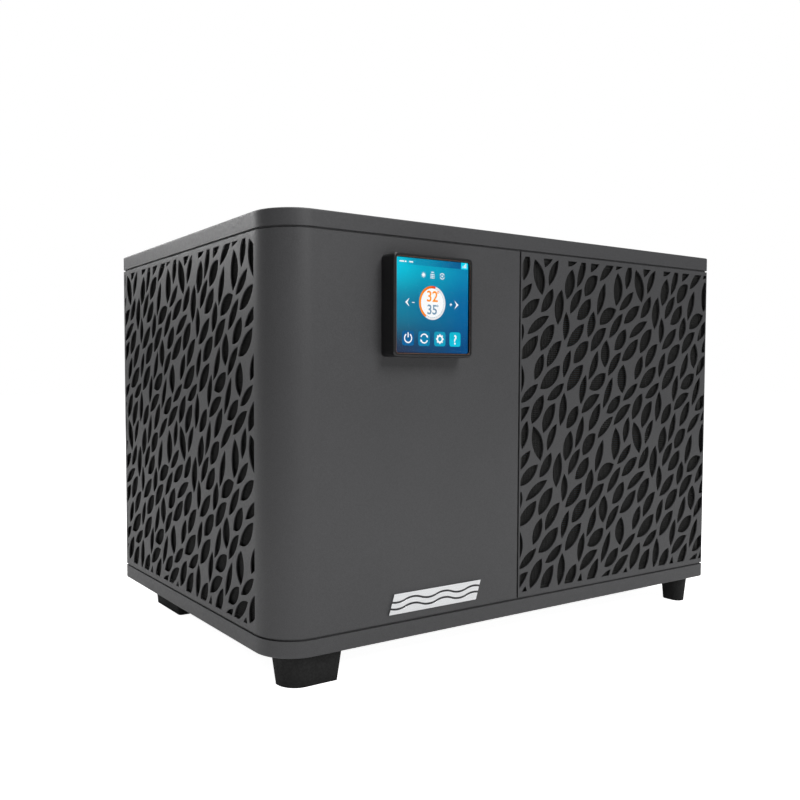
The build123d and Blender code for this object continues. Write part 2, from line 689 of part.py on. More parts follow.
def controller_bezel():
    """Thin metal ring round the screen."""
    outer = control_plate(DISPLAY_SIZE + 2 * BEZEL_WALL, BEZEL_BACK, GLASS_FRONT + 0.4, 3)
    return outer - control_plate(DISPLAY_SIZE, BEZEL_BACK - 1, CONTROL_REACH + 1, 2.4)


def controller_glass():
    return control_plate(DISPLAY_SIZE, DISPLAY_FRONT, GLASS_FRONT, 2.4)


def controller_display():
    """Display panel bonded to the back of the glass."""
    return control_plate(DISPLAY_SIZE - 1, BEZEL_BACK, DISPLAY_FRONT, 2)


def controller_board():
    """Circuit board with its processor and connector."""
    front = FRONT - BOARD_BACK - BOARD_THICK
    board = control_plate(BOARD_SIZE, BOARD_BACK, BOARD_BACK + BOARD_THICK, 2)
    board += Pos(CONTROL_X + 8, FRONT - BOARD_BACK + 1, CONTROL_Z + 10) * Box(14, 2, 14)
    board += Pos(CONTROL_X, FRONT - BOARD_BACK + 2.2, CONTROL_Z - 26) * Box(22, 4.4, 9)
    for x in (CONTROL_X - 32, CONTROL_X + 32):
        for z in (CONTROL_Z - 32, CONTROL_Z + 32):
            board += rod(2.5, (x, front, z), (x, FRONT - BEZEL_BACK + 1.4, z))
    return board


# ---------------------------------------------------------------- fan and coil

def fan_shroud():
    """Plate with a flared ring round the blades."""
    plate = block(PARTITION_X + 1.5, RIGHT - 6, FRONT + 20, FRONT + 22, FLOOR, CEILING - 4)
    plate += tube(FAN_RADIUS + 8, FAN_RADIUS + 5, (FAN_X, FRONT + 20, FAN_Z), (FAN_X, FRONT + 62, FAN_Z))
    return plate - rod(FAN_RADIUS + 5, (FAN_X, FRONT + 19, FAN_Z), (FAN_X, FRONT + 63, FAN_Z))


def fan_blade():
    """One swept blade, pitched about its own radial axis."""
    root, tip = HUB_RADIUS - 4, FAN_RADIUS
    leading = Spline((root, 22), (70, 34), (112, 48), (tip - 4, 58))
    trailing = Spline((root, -22), (74, -24), (116, -22), (tip - 2, -12))
    end = ThreePointArc(leading @ 1, (tip, 22), trailing @ 1)
    butt = Line(trailing @ 0, leading @ 0)
    face = make_face([leading, end, trailing, butt])
    return Rot(BLADE_PITCH, 0, 0) * extrude(face, 1.5, both=True)


def fan_impeller():
    """Hub and blades, turning about Y; the blades stay inside the shroud."""
    hub = Cylinder(HUB_RADIUS, 44) - Pos(0, 0, -4) * Cylinder(HUB_RADIUS - 3, 44)
    hub += Cylinder(11, 44)
    blade = fan_blade()
    wheel = hub
    for index in range(BLADES):
        wheel += Rot(0, 0, 360 * index / BLADES) * (blade - Cylinder(HUB_RADIUS - 2, 80))
    wheel = wheel & Cylinder(FAN_RADIUS, 80)
    wheel -= Cylinder(SHAFT_RADIUS, 90)
    return Pos(FAN_X, FAN_Y, FAN_Z) * Rot(90, 0, 0) * wheel


def fan_shaft():
    return rod(SHAFT_RADIUS, (FAN_X, FAN_Y - 32, FAN_Z), (FAN_X, FAN_Y + 92, FAN_Z))


def fan_nut():
    """Lock nut on the front of the hub."""
    nut = Pos(FAN_X, FAN_Y - 22, FAN_Z) * extrude(Plane.XZ * RegularPolygon(11, 6), 8)
    return nut - rod(SHAFT_RADIUS, (FAN_X, FAN_Y - 60, FAN_Z), (FAN_X, FAN_Y, FAN_Z))


def fan_motor():
    """Ribbed motor can with a seat for a bearing at each end."""
    can = rod(MOTOR_RADIUS, (FAN_X, MOTOR_FRONT, FAN_Z), (FAN_X, MOTOR_BACK, FAN_Z))
    can -= rod(SHAFT_RADIUS + 2, (FAN_X, MOTOR_FRONT - 1, FAN_Z), (FAN_X, MOTOR_BACK + 5, FAN_Z))
    for y in (MOTOR_FRONT, MOTOR_BACK - BEARING_WIDTH):
        can -= rod(BEARING_RADIUS, (FAN_X, y, FAN_Z), (FAN_X, y + BEARING_WIDTH, FAN_Z))
    rib = block(MOTOR_RADIUS - 2, MOTOR_RADIUS + 4, MOTOR_FRONT + 8, MOTOR_BACK - 8, -1.2, 1.2)
    for index in range(16):
        can += Pos(FAN_X, 0, FAN_Z) * Rot(0, 360 * index / 16, 0) * rib
    return can


def fan_bearings():
    rings = []
    for y in (MOTOR_FRONT, MOTOR_BACK - BEARING_WIDTH):
        start, end = (FAN_X, y, FAN_Z), (FAN_X, y + BEARING_WIDTH, FAN_Z)
        rings.append(tube(BEARING_RADIUS, SHAFT_RADIUS + RUNNING_GAP, start, end))
    return group(rings)


def fan_bracket():
    """Two uprights and a cross plate that carry the motor."""
    y0 = MOTOR_BACK
    bracket = block(FAN_X - 40, FAN_X + 40, y0, y0 + 3, FAN_Z - 48, FAN_Z + 48)
    for side in (-1, 1):
        x = FAN_X + side * 34
        bracket += block(x - 9, x + 9, y0, y0 + 3, FLOOR, CEILING - 4)
        bracket += block(x - 1.5, x + 1.5, y0, y0 + 14, FLOOR, CEILING - 4)
    return bracket - rod(BEARING_RADIUS + 3, (FAN_X, y0 - 1, FAN_Z), (FAN_X, y0 + 30, FAN_Z))


def coil_plan(thick, inset):
    """L-shaped strip along the back and the right side, with a round inner bend."""
    right, back = COIL_RIGHT - inset, COIL_BACK - inset
    near, deep = right - thick, back - thick
    path = FilletPolyline([(COIL_LEFT, back), (right, back), (right, COIL_FRONT)], radius=COIL_BEND - inset)
    inner_bend = COIL_BEND - inset - thick
    inner = FilletPolyline([(COIL_LEFT, deep), (near, deep), (near, COIL_FRONT)], radius=inner_bend)
    ends = [Line(path @ 0, inner @ 0), Line(path @ 1, inner @ 1)]
    return make_face(path.edges() + inner.edges() + ends)


def evaporator_coil():
    """Fin pack as one L-shaped block with a groove between fins at a coarse pitch."""
    pack = extrude(coil_plan(COIL_THICK, 0), COIL_HIGH - COIL_LOW)
    grooves = []
    deep, wide = 3.0, 2.4
    back_run = COIL_RIGHT - COIL_BEND - COIL_LEFT
    for index in range(1, int(back_run // COIL_FIN_PITCH)):
        x = COIL_LEFT + index * COIL_FIN_PITCH
        grooves.append(block(x - wide / 2, x + wide / 2, COIL_BACK - deep, COIL_BACK + 1, 0, 500))
    side_run = COIL_BACK - COIL_BEND - COIL_FRONT
    for index in range(1, int(side_run // COIL_FIN_PITCH)):
        y = COIL_FRONT + index * COIL_FIN_PITCH
        grooves.append(block(COIL_RIGHT - deep, COIL_RIGHT + 1, y - wide / 2, y + wide / 2, 0, 500))
    pack = pack - grooves
    return Pos(0, 0, COIL_LOW) * pack


def coil_tube_heights():
    pitch = (COIL_HIGH - COIL_LOW) / TUBE_ROWS
    return [COIL_LOW + pitch * (row + 0.5) for row in range(TUBE_ROWS)]


def coil_bends():
    """Copper hairpins that join neighbouring tubes at the coil's left end."""
    heights = coil_tube_heights()
    x = COIL_LEFT
    bends = []
    for low, high in zip(heights[0::2], heights[1::2]):
        y = COIL_BACK - COIL_THICK / 2
        half = (high - low) / 2
        bend = Pos(x, y, (low + high) / 2) * Rot(90, 0, 0) * Torus(half, TUBE_RADIUS)
        bends.append(bend & block(x - 2 * half, x, y - 20, y + 20, low - 20, high + 20))
    return bends


def coil_header():
    """Upright copper header at the coil's free end, with a short branch to each tube."""
    x, y = COIL_LEFT - 7, COIL_BACK - COIL_THICK - 12
    heights = coil_tube_heights()
    header = rod(6, (x, y, heights[0] - 14), (x, y, heights[-1] + 14))
    for z in heights[::2]:
        header += rod(3, (x, y, z), (x, y + 9, z))
    return header


def coil_copper():
    return group(coil_bends() + [coil_header()])


# ---------------------------------------------------------------- compressor

def compressor_feet():
    """Centres of the three mounting feet."""
    places = []
    for index in range(3):
        angle = math.radians(90 + 120 * index)
        places.append((COMPRESSOR_X + COMPRESSOR_FOOT_CIRCLE * math.cos(angle),
                       COMPRESSOR_Y + COMPRESSOR_FOOT_CIRCLE * math.sin(angle)))
    return places


def compressor_shell():
    """Welded steel can with domed ends, on a three-armed foot plate."""
    outer, wall = COMPRESSOR_RADIUS, COMPRESSOR_WALL
    low, high = COMPRESSOR_LOW, COMPRESSOR_HIGH
    at = Pos(COMPRESSOR_X, COMPRESSOR_Y, 0)
    body = at * Pos(0, 0, (low + high) / 2) * Cylinder(outer, high - low)
    body = fillet(body.edges().filter_by(GeomType.CIRCLE), 18)
    hollow = at * Pos(0, 0, (low + high) / 2) * Cylinder(outer - wall, high - low - 2 * wall)
    hollow = fillet(hollow.edges().filter_by(GeomType.CIRCLE), 15)
    body -= hollow
    for x, y in compressor_feet():
        arm = rod(11, (x, y, low - 3), (x, y, low))
        centre = Vector(COMPRESSOR_X, COMPRESSOR_Y)
        angle = math.degrees(math.atan2(y - centre.Y, x - centre.X))
        web = at * Rot(0, 0, angle) * block(20, COMPRESSOR_FOOT_CIRCLE, -9, 9, low - 3, low)
        body += arm + web
        body -= rod(GROMMET_NECK + 0.1, (x, y, low - 10), (x, y, low + 3))
    return body


def compressor_grommets():
    """Rubber bushes between the tray and the compressor's feet."""
    bushes = []
    for x, y in compressor_feet():
        bush = rod(10, (x, y, FLOOR), (x, y, COMPRESSOR_LOW - 3))
        bush += rod(GROMMET_NECK, (x, y, FLOOR), (x, y, COMPRESSOR_LOW + 1))
        bushes.append(bush - rod(COMPRESSOR_BOLT, (x, y, FLOOR - 1), (x, y, COMPRESSOR_LOW + 2)))
    return group(bushes)


def compressor_bolts():
    bolts = []
    for x, y in compressor_feet():
        bolt = rod(COMPRESSOR_BOLT, (x, y, FOOT_HEIGHT), (x, y, COMPRESSOR_LOW + 5))
        head = Pos(x, y, COMPRESSOR_LOW + 1) * extrude(RegularPolygon(6, 6), 5)
        bolts.append(bolt + head)
    return bolts


def base_fasteners():
    return group(foot_screws() + compressor_bolts())


def compressor_stator():
    """Laminated ring pressed into the can, with end windings."""
    inner = COMPRESSOR_RADIUS - COMPRESSOR_WALL
    low = COMPRESSOR_LOW + 92
    at = Pos(COMPRESSOR_X, COMPRESSOR_Y, low + 35)
    ring_part = at * (Cylinder(inner, 60) - Cylinder(27, 61))
    ring_part += at * (Cylinder(40, 80) - Cylinder(30, 81))
    return ring_part


def compressor_pump():
    """Pump block at the bottom of the can, bored for the crankshaft."""
    inner = COMPRESSOR_RADIUS - COMPRESSOR_WALL
    low = COMPRESSOR_LOW + 24
    pump = Pos(COMPRESSOR_X, COMPRESSOR_Y, low + 17) * (Cylinder(inner, 34) - Cylinder(8 + RUNNING_GAP, 35))
    return pump


def compressor_rotor():
    """Rotor on its crankshaft."""
    low = COMPRESSOR_LOW
    rotor = rod(26.4, (COMPRESSOR_X, COMPRESSOR_Y, low + 95), (COMPRESSOR_X, COMPRESSOR_Y, low + 159))
    return rotor + rod(8, (COMPRESSOR_X, COMPRESSOR_Y, low + 20), (COMPRESSOR_X, COMPRESSOR_Y, low + 168))


def accumulator():
    """Suction accumulator beside the can, joined to it by an elbow and a strap."""
    x, y = ACCUMULATOR_X, COMPRESSOR_Y
    body = rod(22, (x, y, ACCUMULATOR_LOW), (x, y, ACCUMULATOR_HIGH))
    body = fillet(body.edges().filter_by(GeomType.CIRCLE), 12)
    elbow = FilletPolyline([(x, y, ACCUMULATOR_LOW + 6), (x, y, ACCUMULATOR_LOW - 24),
                            (COMPRESSOR_X + COMPRESSOR_RADIUS, y, ACCUMULATOR_LOW - 24)], radius=14)
    body += sweep(Plane(elbow @ 0, z_dir=elbow % 0) * Circle(PIPE_RADIUS), elbow)
    strap_z = ACCUMULATOR_HIGH - 50
    return body + block(COMPRESSOR_X + COMPRESSOR_RADIUS, x - 20, y - 8, y + 8, strap_z, strap_z + 2)


def terminal_cover():
    """Moulded cap over the compressor's terminals, held by a nut."""
    z = COMPRESSOR_HIGH
    cap = Pos(COMPRESSOR_X, COMPRESSOR_Y, z + 11) * Cylinder(20, 22)
    cap = fillet(cap.faces().sort_by(Axis.Z)[-1].edges(), 6)
    cap += Pos(COMPRESSOR_X, COMPRESSOR_Y, z + 24) * extrude(RegularPolygon(5, 6), 5, both=True)
    return cap


# ---------------------------------------------------------------- water circuit

def exchanger_shell():
    """Upright plastic vessel with domed caps and water tubes bored through its wall."""
    outer, wall = EXCHANGER_RADIUS, EXCHANGER_WALL
    low, high = EXCHANGER_LOW, EXCHANGER_HIGH
    at = Pos(EXCHANGER_X, EXCHANGER_Y, (low + high) / 2)
    body = at * Cylinder(outer, high - low)
    body = fillet(body.edges().filter_by(GeomType.CIRCLE), 20)
    hollow = at * Cylinder(outer - wall, high - low - 2 * wall)
    body -= fillet(hollow.edges().filter_by(GeomType.CIRCLE), 15)
    for z in (low + 40, high - 40):
        body += Pos(EXCHANGER_X, EXCHANGER_Y, z) * (Cylinder(outer + 3, 10) - Cylinder(outer - 2, 11))
    for x in (EXCHANGER_X - 32, EXCHANGER_X + 32):
        body += block(x - 9, x + 9, EXCHANGER_Y - 14, EXCHANGER_Y + 14, FLOOR, low + 9)
    for z in (INLET_Z, OUTLET_Z):
        body -= rod(WATER_TUBE, (EXCHANGER_X, EXCHANGER_Y + 30, z), (EXCHANGER_X, BACK, z))
    for z in GAS_PORTS:
        body -= rod(PIPE_RADIUS + 0.2, (EXCHANGER_X + 30, EXCHANGER_Y, z), (EXCHANGER_X + 90, EXCHANGER_Y, z))
    return body


def titanium_coil():
    """Refrigerant tube wound inside the vessel, with a straight lead out at each end."""
    low, high = GAS_PORTS
    pitch = (high - low) / COIL_TURNS
    route = Helix(pitch, high - low, COIL_TURN)
    coil = sweep(Plane(route @ 0, z_dir=route % 0) * Circle(PIPE_RADIUS), route)
    coil = Pos(EXCHANGER_X, EXCHANGER_Y, low) * coil
    near, far = EXCHANGER_X + COIL_TURN, EXCHANGER_X + EXCHANGER_RADIUS + 14
    for z in GAS_PORTS:
        coil += rod(PIPE_RADIUS, (near, EXCHANGER_Y, z), (far, EXCHANGER_Y, z))
    return coil


def water_union(z):
    """Water tube from the vessel wall through the rear panel to a solvent socket."""
    x = EXCHANGER_X
    y0 = EXCHANGER_Y + EXCHANGER_RADIUS - EXCHANGER_WALL
    end = BACK + UNION_REACH
    body = rod(WATER_TUBE, (x, y0, z), (x, end - SOCKET_LENGTH - 26, z))
    body += rod(TAIL_RADIUS, (x, BACK, z), (x, BACK + 7, z))
    body += rod(TAIL_RADIUS, (x, BACK + 9, z), (x, BACK + 13, z))
    body += rod(TAIL_RADIUS - 3, (x, BACK + 2, z), (x, end, z))
    body += rod(TAIL_RADIUS, (x, end - 6, z), (x, end, z))
    body -= rod(WATER_BORE, (x, y0 - 1, z), (x, end + 1, z))
    return body - rod(SOCKET_RADIUS, (x, end - SOCKET_LENGTH, z), (x, end + 1, z))


def water_outlet_union():
    """The upper union, slotted at the top for the flow paddle's stem."""
    x, y = EXCHANGER_X, PADDLE_Y
    return water_union(OUTLET_Z) - block(x - 4, x + 4, y - 3, y + 9, OUTLET_Z, OUTLET_Z + WATER_TUBE + 1)


def union_nut(z):
    """Captive ring with eight grip lugs, free to turn on the union."""
    x = EXCHANGER_X
    y0, y1 = BACK + 15, BACK + UNION_REACH - 9
    ring_part = rod(NUT_RADIUS - 3, (x, y0, z), (x, y1, z))
    for index in range(8):
        lug = Rot(0, 45 * index, 0) * block(NUT_RADIUS - 6, NUT_RADIUS, y0 + 1, y1 - 1, -4, 4)
        ring_part += Pos(x, 0, z) * lug
    return ring_part - rod(TAIL_RADIUS - 3 + RUNNING_GAP, (x, y0 - 1, z), (x, y1 + 1, z))


def flow_switch_body():
    """Housing on top of the outlet tube, with a slot for the paddle's stem."""
    x, y = EXCHANGER_X, PADDLE_Y
    z0 = OUTLET_Z + WATER_TUBE
    body = block(x - 13, x + 13, y - 15, y + 15, z0 - 3, z0 + 22)
    body -= rod(WATER_TUBE, (x, y - 30, OUTLET_Z), (x, y + 30, OUTLET_Z))
    body -= block(x - 6, x + 6, y - 12, y + 12, z0 - 10, z0 + 17)
    body -= rod(PADDLE_PIN + RUNNING_GAP, (x - 10, y, PADDLE_TOP), (x + 10, y, PADDLE_TOP))
    return body


def flow_paddle():
    """Paddle that the water pushes, with its stem and pivot pin."""
    x, y = EXCHANGER_X, PADDLE_Y
    paddle = rod(PADDLE_PIN, (x - 9.8, y, PADDLE_TOP), (x + 9.8, y, PADDLE_TOP))
    paddle += rod(4, (x - 4, y, PADDLE_TOP), (x + 4, y, PADDLE_TOP))
    paddle += block(x - 3, x + 3, y - 1, y + 1, OUTLET_Z, PADDLE_TOP)
    paddle += block(x - 8, x + 8, y - 0.8, y + 0.8, OUTLET_Z - 8, OUTLET_Z + 10)
    return paddle


# ---------------------------------------------------------------- refrigerant circuit

def reversing_valve():
    """Valve body along X with four stubs."""
    half = 46.0
    body = rod(VALVE_RADIUS, (VALVE_X - half, VALVE_Y, VALVE_Z), (VALVE_X + half, VALVE_Y, VALVE_Z))
    body -= rod(VALVE_BORE, (VALVE_X - half + 4, VALVE_Y, VALVE_Z), (VALVE_X + half - 4, VALVE_Y, VALVE_Z))
    for x in (-22, 0, 22):
        body += rod(PIPE_RADIUS, (VALVE_X + x, VALVE_Y + 11, VALVE_Z), (VALVE_X + x, VALVE_Y + 30, VALVE_Z))
    body += rod(PIPE_RADIUS, (VALVE_X, VALVE_Y, VALVE_Z - 11), (VALVE_X, VALVE_Y, VALVE_Z - 26))
    return body


def reversing_slider():
    """Shuttle with two pistons on a rod."""
    x0 = VALVE_X - 38
    reach = 84 - VALVE_TRAVEL - 16
    radius = VALVE_BORE - RUNNING_GAP
    slider = rod(radius, (x0, VALVE_Y, VALVE_Z), (x0 + 10, VALVE_Y, VALVE_Z))
    slider += rod(3.5, (x0, VALVE_Y, VALVE_Z), (x0 + reach, VALVE_Y, VALVE_Z))
    return slider + rod(radius, (x0 + reach - 10, VALVE_Y, VALVE_Z), (x0 + reach, VALVE_Y, VALVE_Z))


def valve_solenoid():
    """Coil that switches the valve, on a bracket under it."""
    y1 = VALVE_Y - VALVE_RADIUS
    core = rod(12, (VALVE_X + 16, y1 - 26, VALVE_Z), (VALVE_X + 16, y1, VALVE_Z))
    return core + block(VALVE_X + 6, VALVE_X + 26, y1 - 22, y1 - 4, VALVE_Z - 15, VALVE_Z + 15)


def expansion_valve():
    """Upright electronic valve with a motor cap."""
    x, y, z = EXPANSION_X, EXPANSION_Y, EXPANSION_Z
    body = rod(9, (x, y, z - 10), (x, y, z + 18))
    body += rod(15, (x, y, z + 18), (x, y, z + 46))
    return fillet(body.faces().sort_by(Axis.Z)[-1].edges(), 4)


def pipe(points, radius):
    """Copper pipe of straight runs and even bends."""
    route = FilletPolyline(points, radius=radius)
    return sweep(Plane(route @ 0, z_dir=route % 0) * Circle(PIPE_RADIUS), route)


def discharge_pipe():
    """From the top of the compressor to the valve's single stub."""
    x, y, z = COMPRESSOR_X + 28, COMPRESSOR_Y, COMPRESSOR_HIGH
    across, ahead, top, low = x + 40, y - 50, z + 34, VALVE_Z - 66
    return pipe([(x, y, z), (x, y, top), (across, y, top), (across, ahead, top), (across, ahead, low),
                 (VALVE_X, ahead, low), (VALVE_X, VALVE_Y, low), (VALVE_X, VALVE_Y, VALVE_Z - 26)], 12)


def suction_pipe():
    """From the valve's middle stub down to the accumulator."""
    x, y, z = VALVE_X, VALVE_Y + 30, VALVE_Z
    top = ACCUMULATOR_HIGH
    return pipe([(x, y, z), (x, y + 26, z), (x, y + 26, z + 26), (ACCUMULATOR_X, y + 26, z + 26),
                 (ACCUMULATOR_X, COMPRESSOR_Y, z + 26), (ACCUMULATOR_X, COMPRESSOR_Y, top)], 11)


def hot_gas_pipe():
    """From the valve's left stub to the upper port of the heat exchanger."""
    x, y, z = VALVE_X - 22, VALVE_Y + 30, VALVE_Z
    end = (EXCHANGER_X + EXCHANGER_RADIUS + 14, EXCHANGER_Y, GAS_PORTS[1])
    return pipe([(x, y, z), (x, EXCHANGER_Y, z), (x, EXCHANGER_Y, end[2]), end], 11)


def liquid_pipe():
    """From the lower port of the heat exchanger to the expansion valve."""
    start = (EXCHANGER_X + EXCHANGER_RADIUS + 14, EXCHANGER_Y, GAS_PORTS[0])
    x, y, z = EXPANSION_X, EXPANSION_Y, EXPANSION_Z
    return pipe([start, (x - 40, y, z), (x - 40, y + 30, z), (x, y + 30, z), (x, y + 9, z)], 11)


def coil_feed_pipe():
    """From below the expansion valve through the partition to the coil header."""
    x, y, z = EXPANSION_X, EXPANSION_Y, EXPANSION_Z - 10
    header_x, header_y = COIL_LEFT - 7, COIL_BACK - COIL_THICK - 12
    return pipe([(x, y, z), (x, y, z - 24), (x, header_y, z - 24), (header_x - 6, header_y, z - 24)], 11)


def refrigerant_pipes():
    return group([discharge_pipe(), suction_pipe(), hot_gas_pipe(), liquid_pipe(), coil_feed_pipe()])


def partition_panel():
    """Upright sheet between the fan side and the compressor side."""
    panel = block(PARTITION_X - 1.2, PARTITION_X, FRONT + 18, BACK - 18, FLOOR, CEILING - 4)
    header_y, z = COIL_BACK - COIL_THICK - 12, EXPANSION_Z - 34
    return panel - rod(9, (PARTITION_X - 5, header_y, z), (PARTITION_X + 5, header_y, z))


# ---------------------------------------------------------------- electrics and rear fittings

def electrical_box():
    """Folded tray, open upwards, fixed to the partition."""
    box = block(BOX_X0, BOX_X1, BOX_Y0, BOX_Y1, BOX_Z0, BOX_Z1 - 2)
    return box - block(BOX_X0 + 1.5, BOX_X1 - 1.5, BOX_Y0 + 1.5, BOX_Y1 - 1.5, BOX_Z0 + 1.5, BOX_Z1)


def electrical_cover():
    return block(BOX_X0, BOX_X1, BOX_Y0, BOX_Y1, BOX_Z1 - 2, BOX_Z1)


def control_board():
    """Main board on pillars, with capacitors, relays and connectors."""
    x0, x1, y0, y1 = BOX_X0 + 12, BOX_X1 - 12, BOX_Y0 + 12, BOX_Y1 - 60
    z = BOX_Z0 + 10
    board = block(x0, x1, y0, y1, z, z + 1.6)
    for x in (x0 + 6, x1 - 6):
        for y in (y0 + 6, y1 - 6):
            board += rod(3, (x, y, BOX_Z0 + 1.5), (x, y, z))
    for index in range(3):
        board += rod(11, (x0 + 20 + 28 * index, y0 + 22, z), (x0 + 20 + 28 * index, y0 + 22, z + 38))
        board += block(x0 + 10 + 30 * index, x0 + 28 + 30 * index, y0 + 60, y0 + 84, z, z + 18)
    board += block(x0 + 10, x1 - 10, y1 - 26, y1 - 16, z, z + 12)
    return group([board, heat_sink()])


def heat_sink():
    """Finned block on the board beside the capacitors."""
    x0, x1, y0, y1 = BOX_X0 + 24, BOX_X1 - 24, BOX_Y0 + 106, BOX_Y0 + 166
    z = BOX_Z0 + 11.6
    sink = block(x0, x1, y0, y1, z, z + 6)
    count = 9
    for index in range(count):
        x = x0 + 1 + (x1 - x0 - 4) * index / (count - 1)
        sink += block(x, x + 2, y0, y1, z + 5, z + 32)
    return sink


def terminal_block():
    """Row of screw terminals at the back of the box."""
    y0 = BOX_Y1 - 44
    block_part = block(BOX_X0 + 16, BOX_X1 - 16, y0, y0 + 24, BOX_Z0 + 1.5, BOX_Z0 + 20)
    for index in range(6):
        x = BOX_X0 + 27 + 13.5 * index
        block_part -= block(x - 4.5, x + 4.5, y0 + 3, y0 + 21, BOX_Z0 + 12, BOX_Z0 + 21)
        block_part += rod(3, (x, y0 + 12, BOX_Z0 + 11.5), (x, y0 + 12, BOX_Z0 + 15))
    return block_part


def cable_glands():
    """Threaded body through the panel, hexagon and domed nut, bored for a cable."""
    glands = []
    for x in GLAND_XS:
        place = (x, BACK - 12, GLAND_Z)
        gland = rod(GLAND_THREAD, place, (x, BACK + 2, GLAND_Z))
        hexagon = Pos(x, BACK + 5, GLAND_Z) * extrude(Plane.XZ * RegularPolygon(12, 6), 5)
        dome = rod(10.5, (x, BACK + 4, GLAND_Z), (x, BACK + 18, GLAND_Z))
        dome = fillet(dome.faces().sort_by(Axis.Y)[-1].edges(), 5)
        nut = Pos(x, BACK - SHEET, GLAND_Z) * extrude(Plane.XZ * RegularPolygon(12, 6), 4)
        gland += hexagon + dome + nut
        glands.append(gland - rod(GLAND_BORE, (x, BACK - 20, GLAND_Z), (x, BACK + 30, GLAND_Z)))
    return group(glands)


def gauge_body():
    """Cup of the refrigerant pressure gauge with its stem and dial floor."""
    x, z = GAUGE_X, GAUGE_Z
    body = rod(GAUGE_RADIUS, (x, BACK, z), (x, BACK + 16, z))
    body = fillet(body.faces().sort_by(Axis.Y)[-1].edges(), 1.5)
    body -= rod(GAUGE_RADIUS - 3, (x, BACK + 6, z), (x, BACK + 20, z))
    body += rod(GAUGE_STEM - 0.2, (x, BACK - 20, z), (x, BACK, z))
    return body + rod(1.5, (x, BACK + 5, z), (x, BACK + 10.5, z))


def gauge_needle():
    """Pointer on the gauge's spindle, at its low stop."""
    x, z = GAUGE_X, GAUGE_Z
    rest = math.radians(315)
    tip = (19 * math.cos(rest), 19 * math.sin(rest))
    tail = (-6 * math.cos(rest), -6 * math.sin(rest))
    side = (1.1 * math.sin(rest), -1.1 * math.cos(rest))
    ends = [(tail[0] + sign * side[0], tail[1] + sign * side[1]) for sign in (1, -1)]
    outline = Polyline(ends[0], tip, ends[1], close=True)
    pointer = Pos(x, BACK + 9, z) * extrude(Plane.XZ * make_face(outline), 0.8)
    pointer += rod(3, (x, BACK + 8, z), (x, BACK + 10, z))
    return pointer - rod(1.5 + RUNNING_GAP, (x, BACK, z), (x, BACK + 20, z))


def gauge_glass():
    """Clear front of the gauge."""
    return rod(GAUGE_RADIUS - 3, (GAUGE_X, BACK + 13, GAUGE_Z), (GAUGE_X, BACK + 14.6, GAUGE_Z))


def drain_spigot():
    """Condensate outlet through the tray floor."""
    x, y = DRAIN_X, DRAIN_Y
    spigot = rod(DRAIN_RADIUS, (x, y, 8), (x, y, FLOOR))
    spigot += rod(DRAIN_RADIUS + 5, (x, y, FLOOR), (x, y, FLOOR + 2))
    spigot += rod(DRAIN_RADIUS + 4, (x, y, FOOT_HEIGHT - 3), (x, y, FOOT_HEIGHT))
    return spigot - rod(DRAIN_BORE, (x, y, 0), (x, y, 60))


def main():
    os.makedirs("parts", exist_ok=True)
    tile = leaf_tile()
    left = leaf_holes(tile, -SIDE_WINDOW_BACK, -SIDE_WINDOW_FRONT, WINDOW_LOW, WINDOW_HIGH)
    front = leaf_holes(tile, PANEL_SEAM_X + 3.0, RIGHT - WINDOW_MARGIN, WINDOW_LOW, WINDOW_HIGH)
    right = leaf_holes(tile, RIGHT_WINDOW_FRONT, SIDE_WINDOW_BACK, WINDOW_LOW, WINDOW_HIGH)
    skin = cabinet_skin()
    save(left_wrap_panel(skin, left), "left_wrap_panel")
    save(front_grille_panel(skin, front), "front_grille_panel")
    save(right_grille_panel(skin, right), "right_grille_panel")
    save(water_union(INLET_Z), "water_inlet_union")
    save(union_nut(INLET_Z), "inlet_union_nut")
    save(union_nut(OUTLET_Z), "outlet_union_nut")
    makers = [base_pan, front_feet, rear_feet, lid, rear_service_panel, rear_coil_guard,
              front_screen, side_screens, inner_posts, partition_panel, base_fasteners,
              cabinet_screws, wave_badge,
              controller_bracket, controller_housing, controller_bezel, controller_glass,
              controller_display, controller_board, fan_shroud, fan_impeller, fan_shaft, fan_nut,
              fan_motor, fan_bearings, fan_bracket, evaporator_coil, coil_copper,
              compressor_shell, compressor_grommets, compressor_stator, compressor_pump,
              compressor_rotor, accumulator, terminal_cover, exchanger_shell, titanium_coil,
              water_outlet_union, flow_switch_body, flow_paddle, reversing_valve,
              reversing_slider, valve_solenoid, expansion_valve, refrigerant_pipes, electrical_box, electrical_cover, control_board,
              terminal_block, cable_glands, gauge_body, gauge_needle, gauge_glass, drain_spigot]
    for maker in makers:
        save(maker(), maker.__name__)


main()
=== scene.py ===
import json
import math

import bmesh
import bpy
from mathutils import Euler, Matrix, Vector


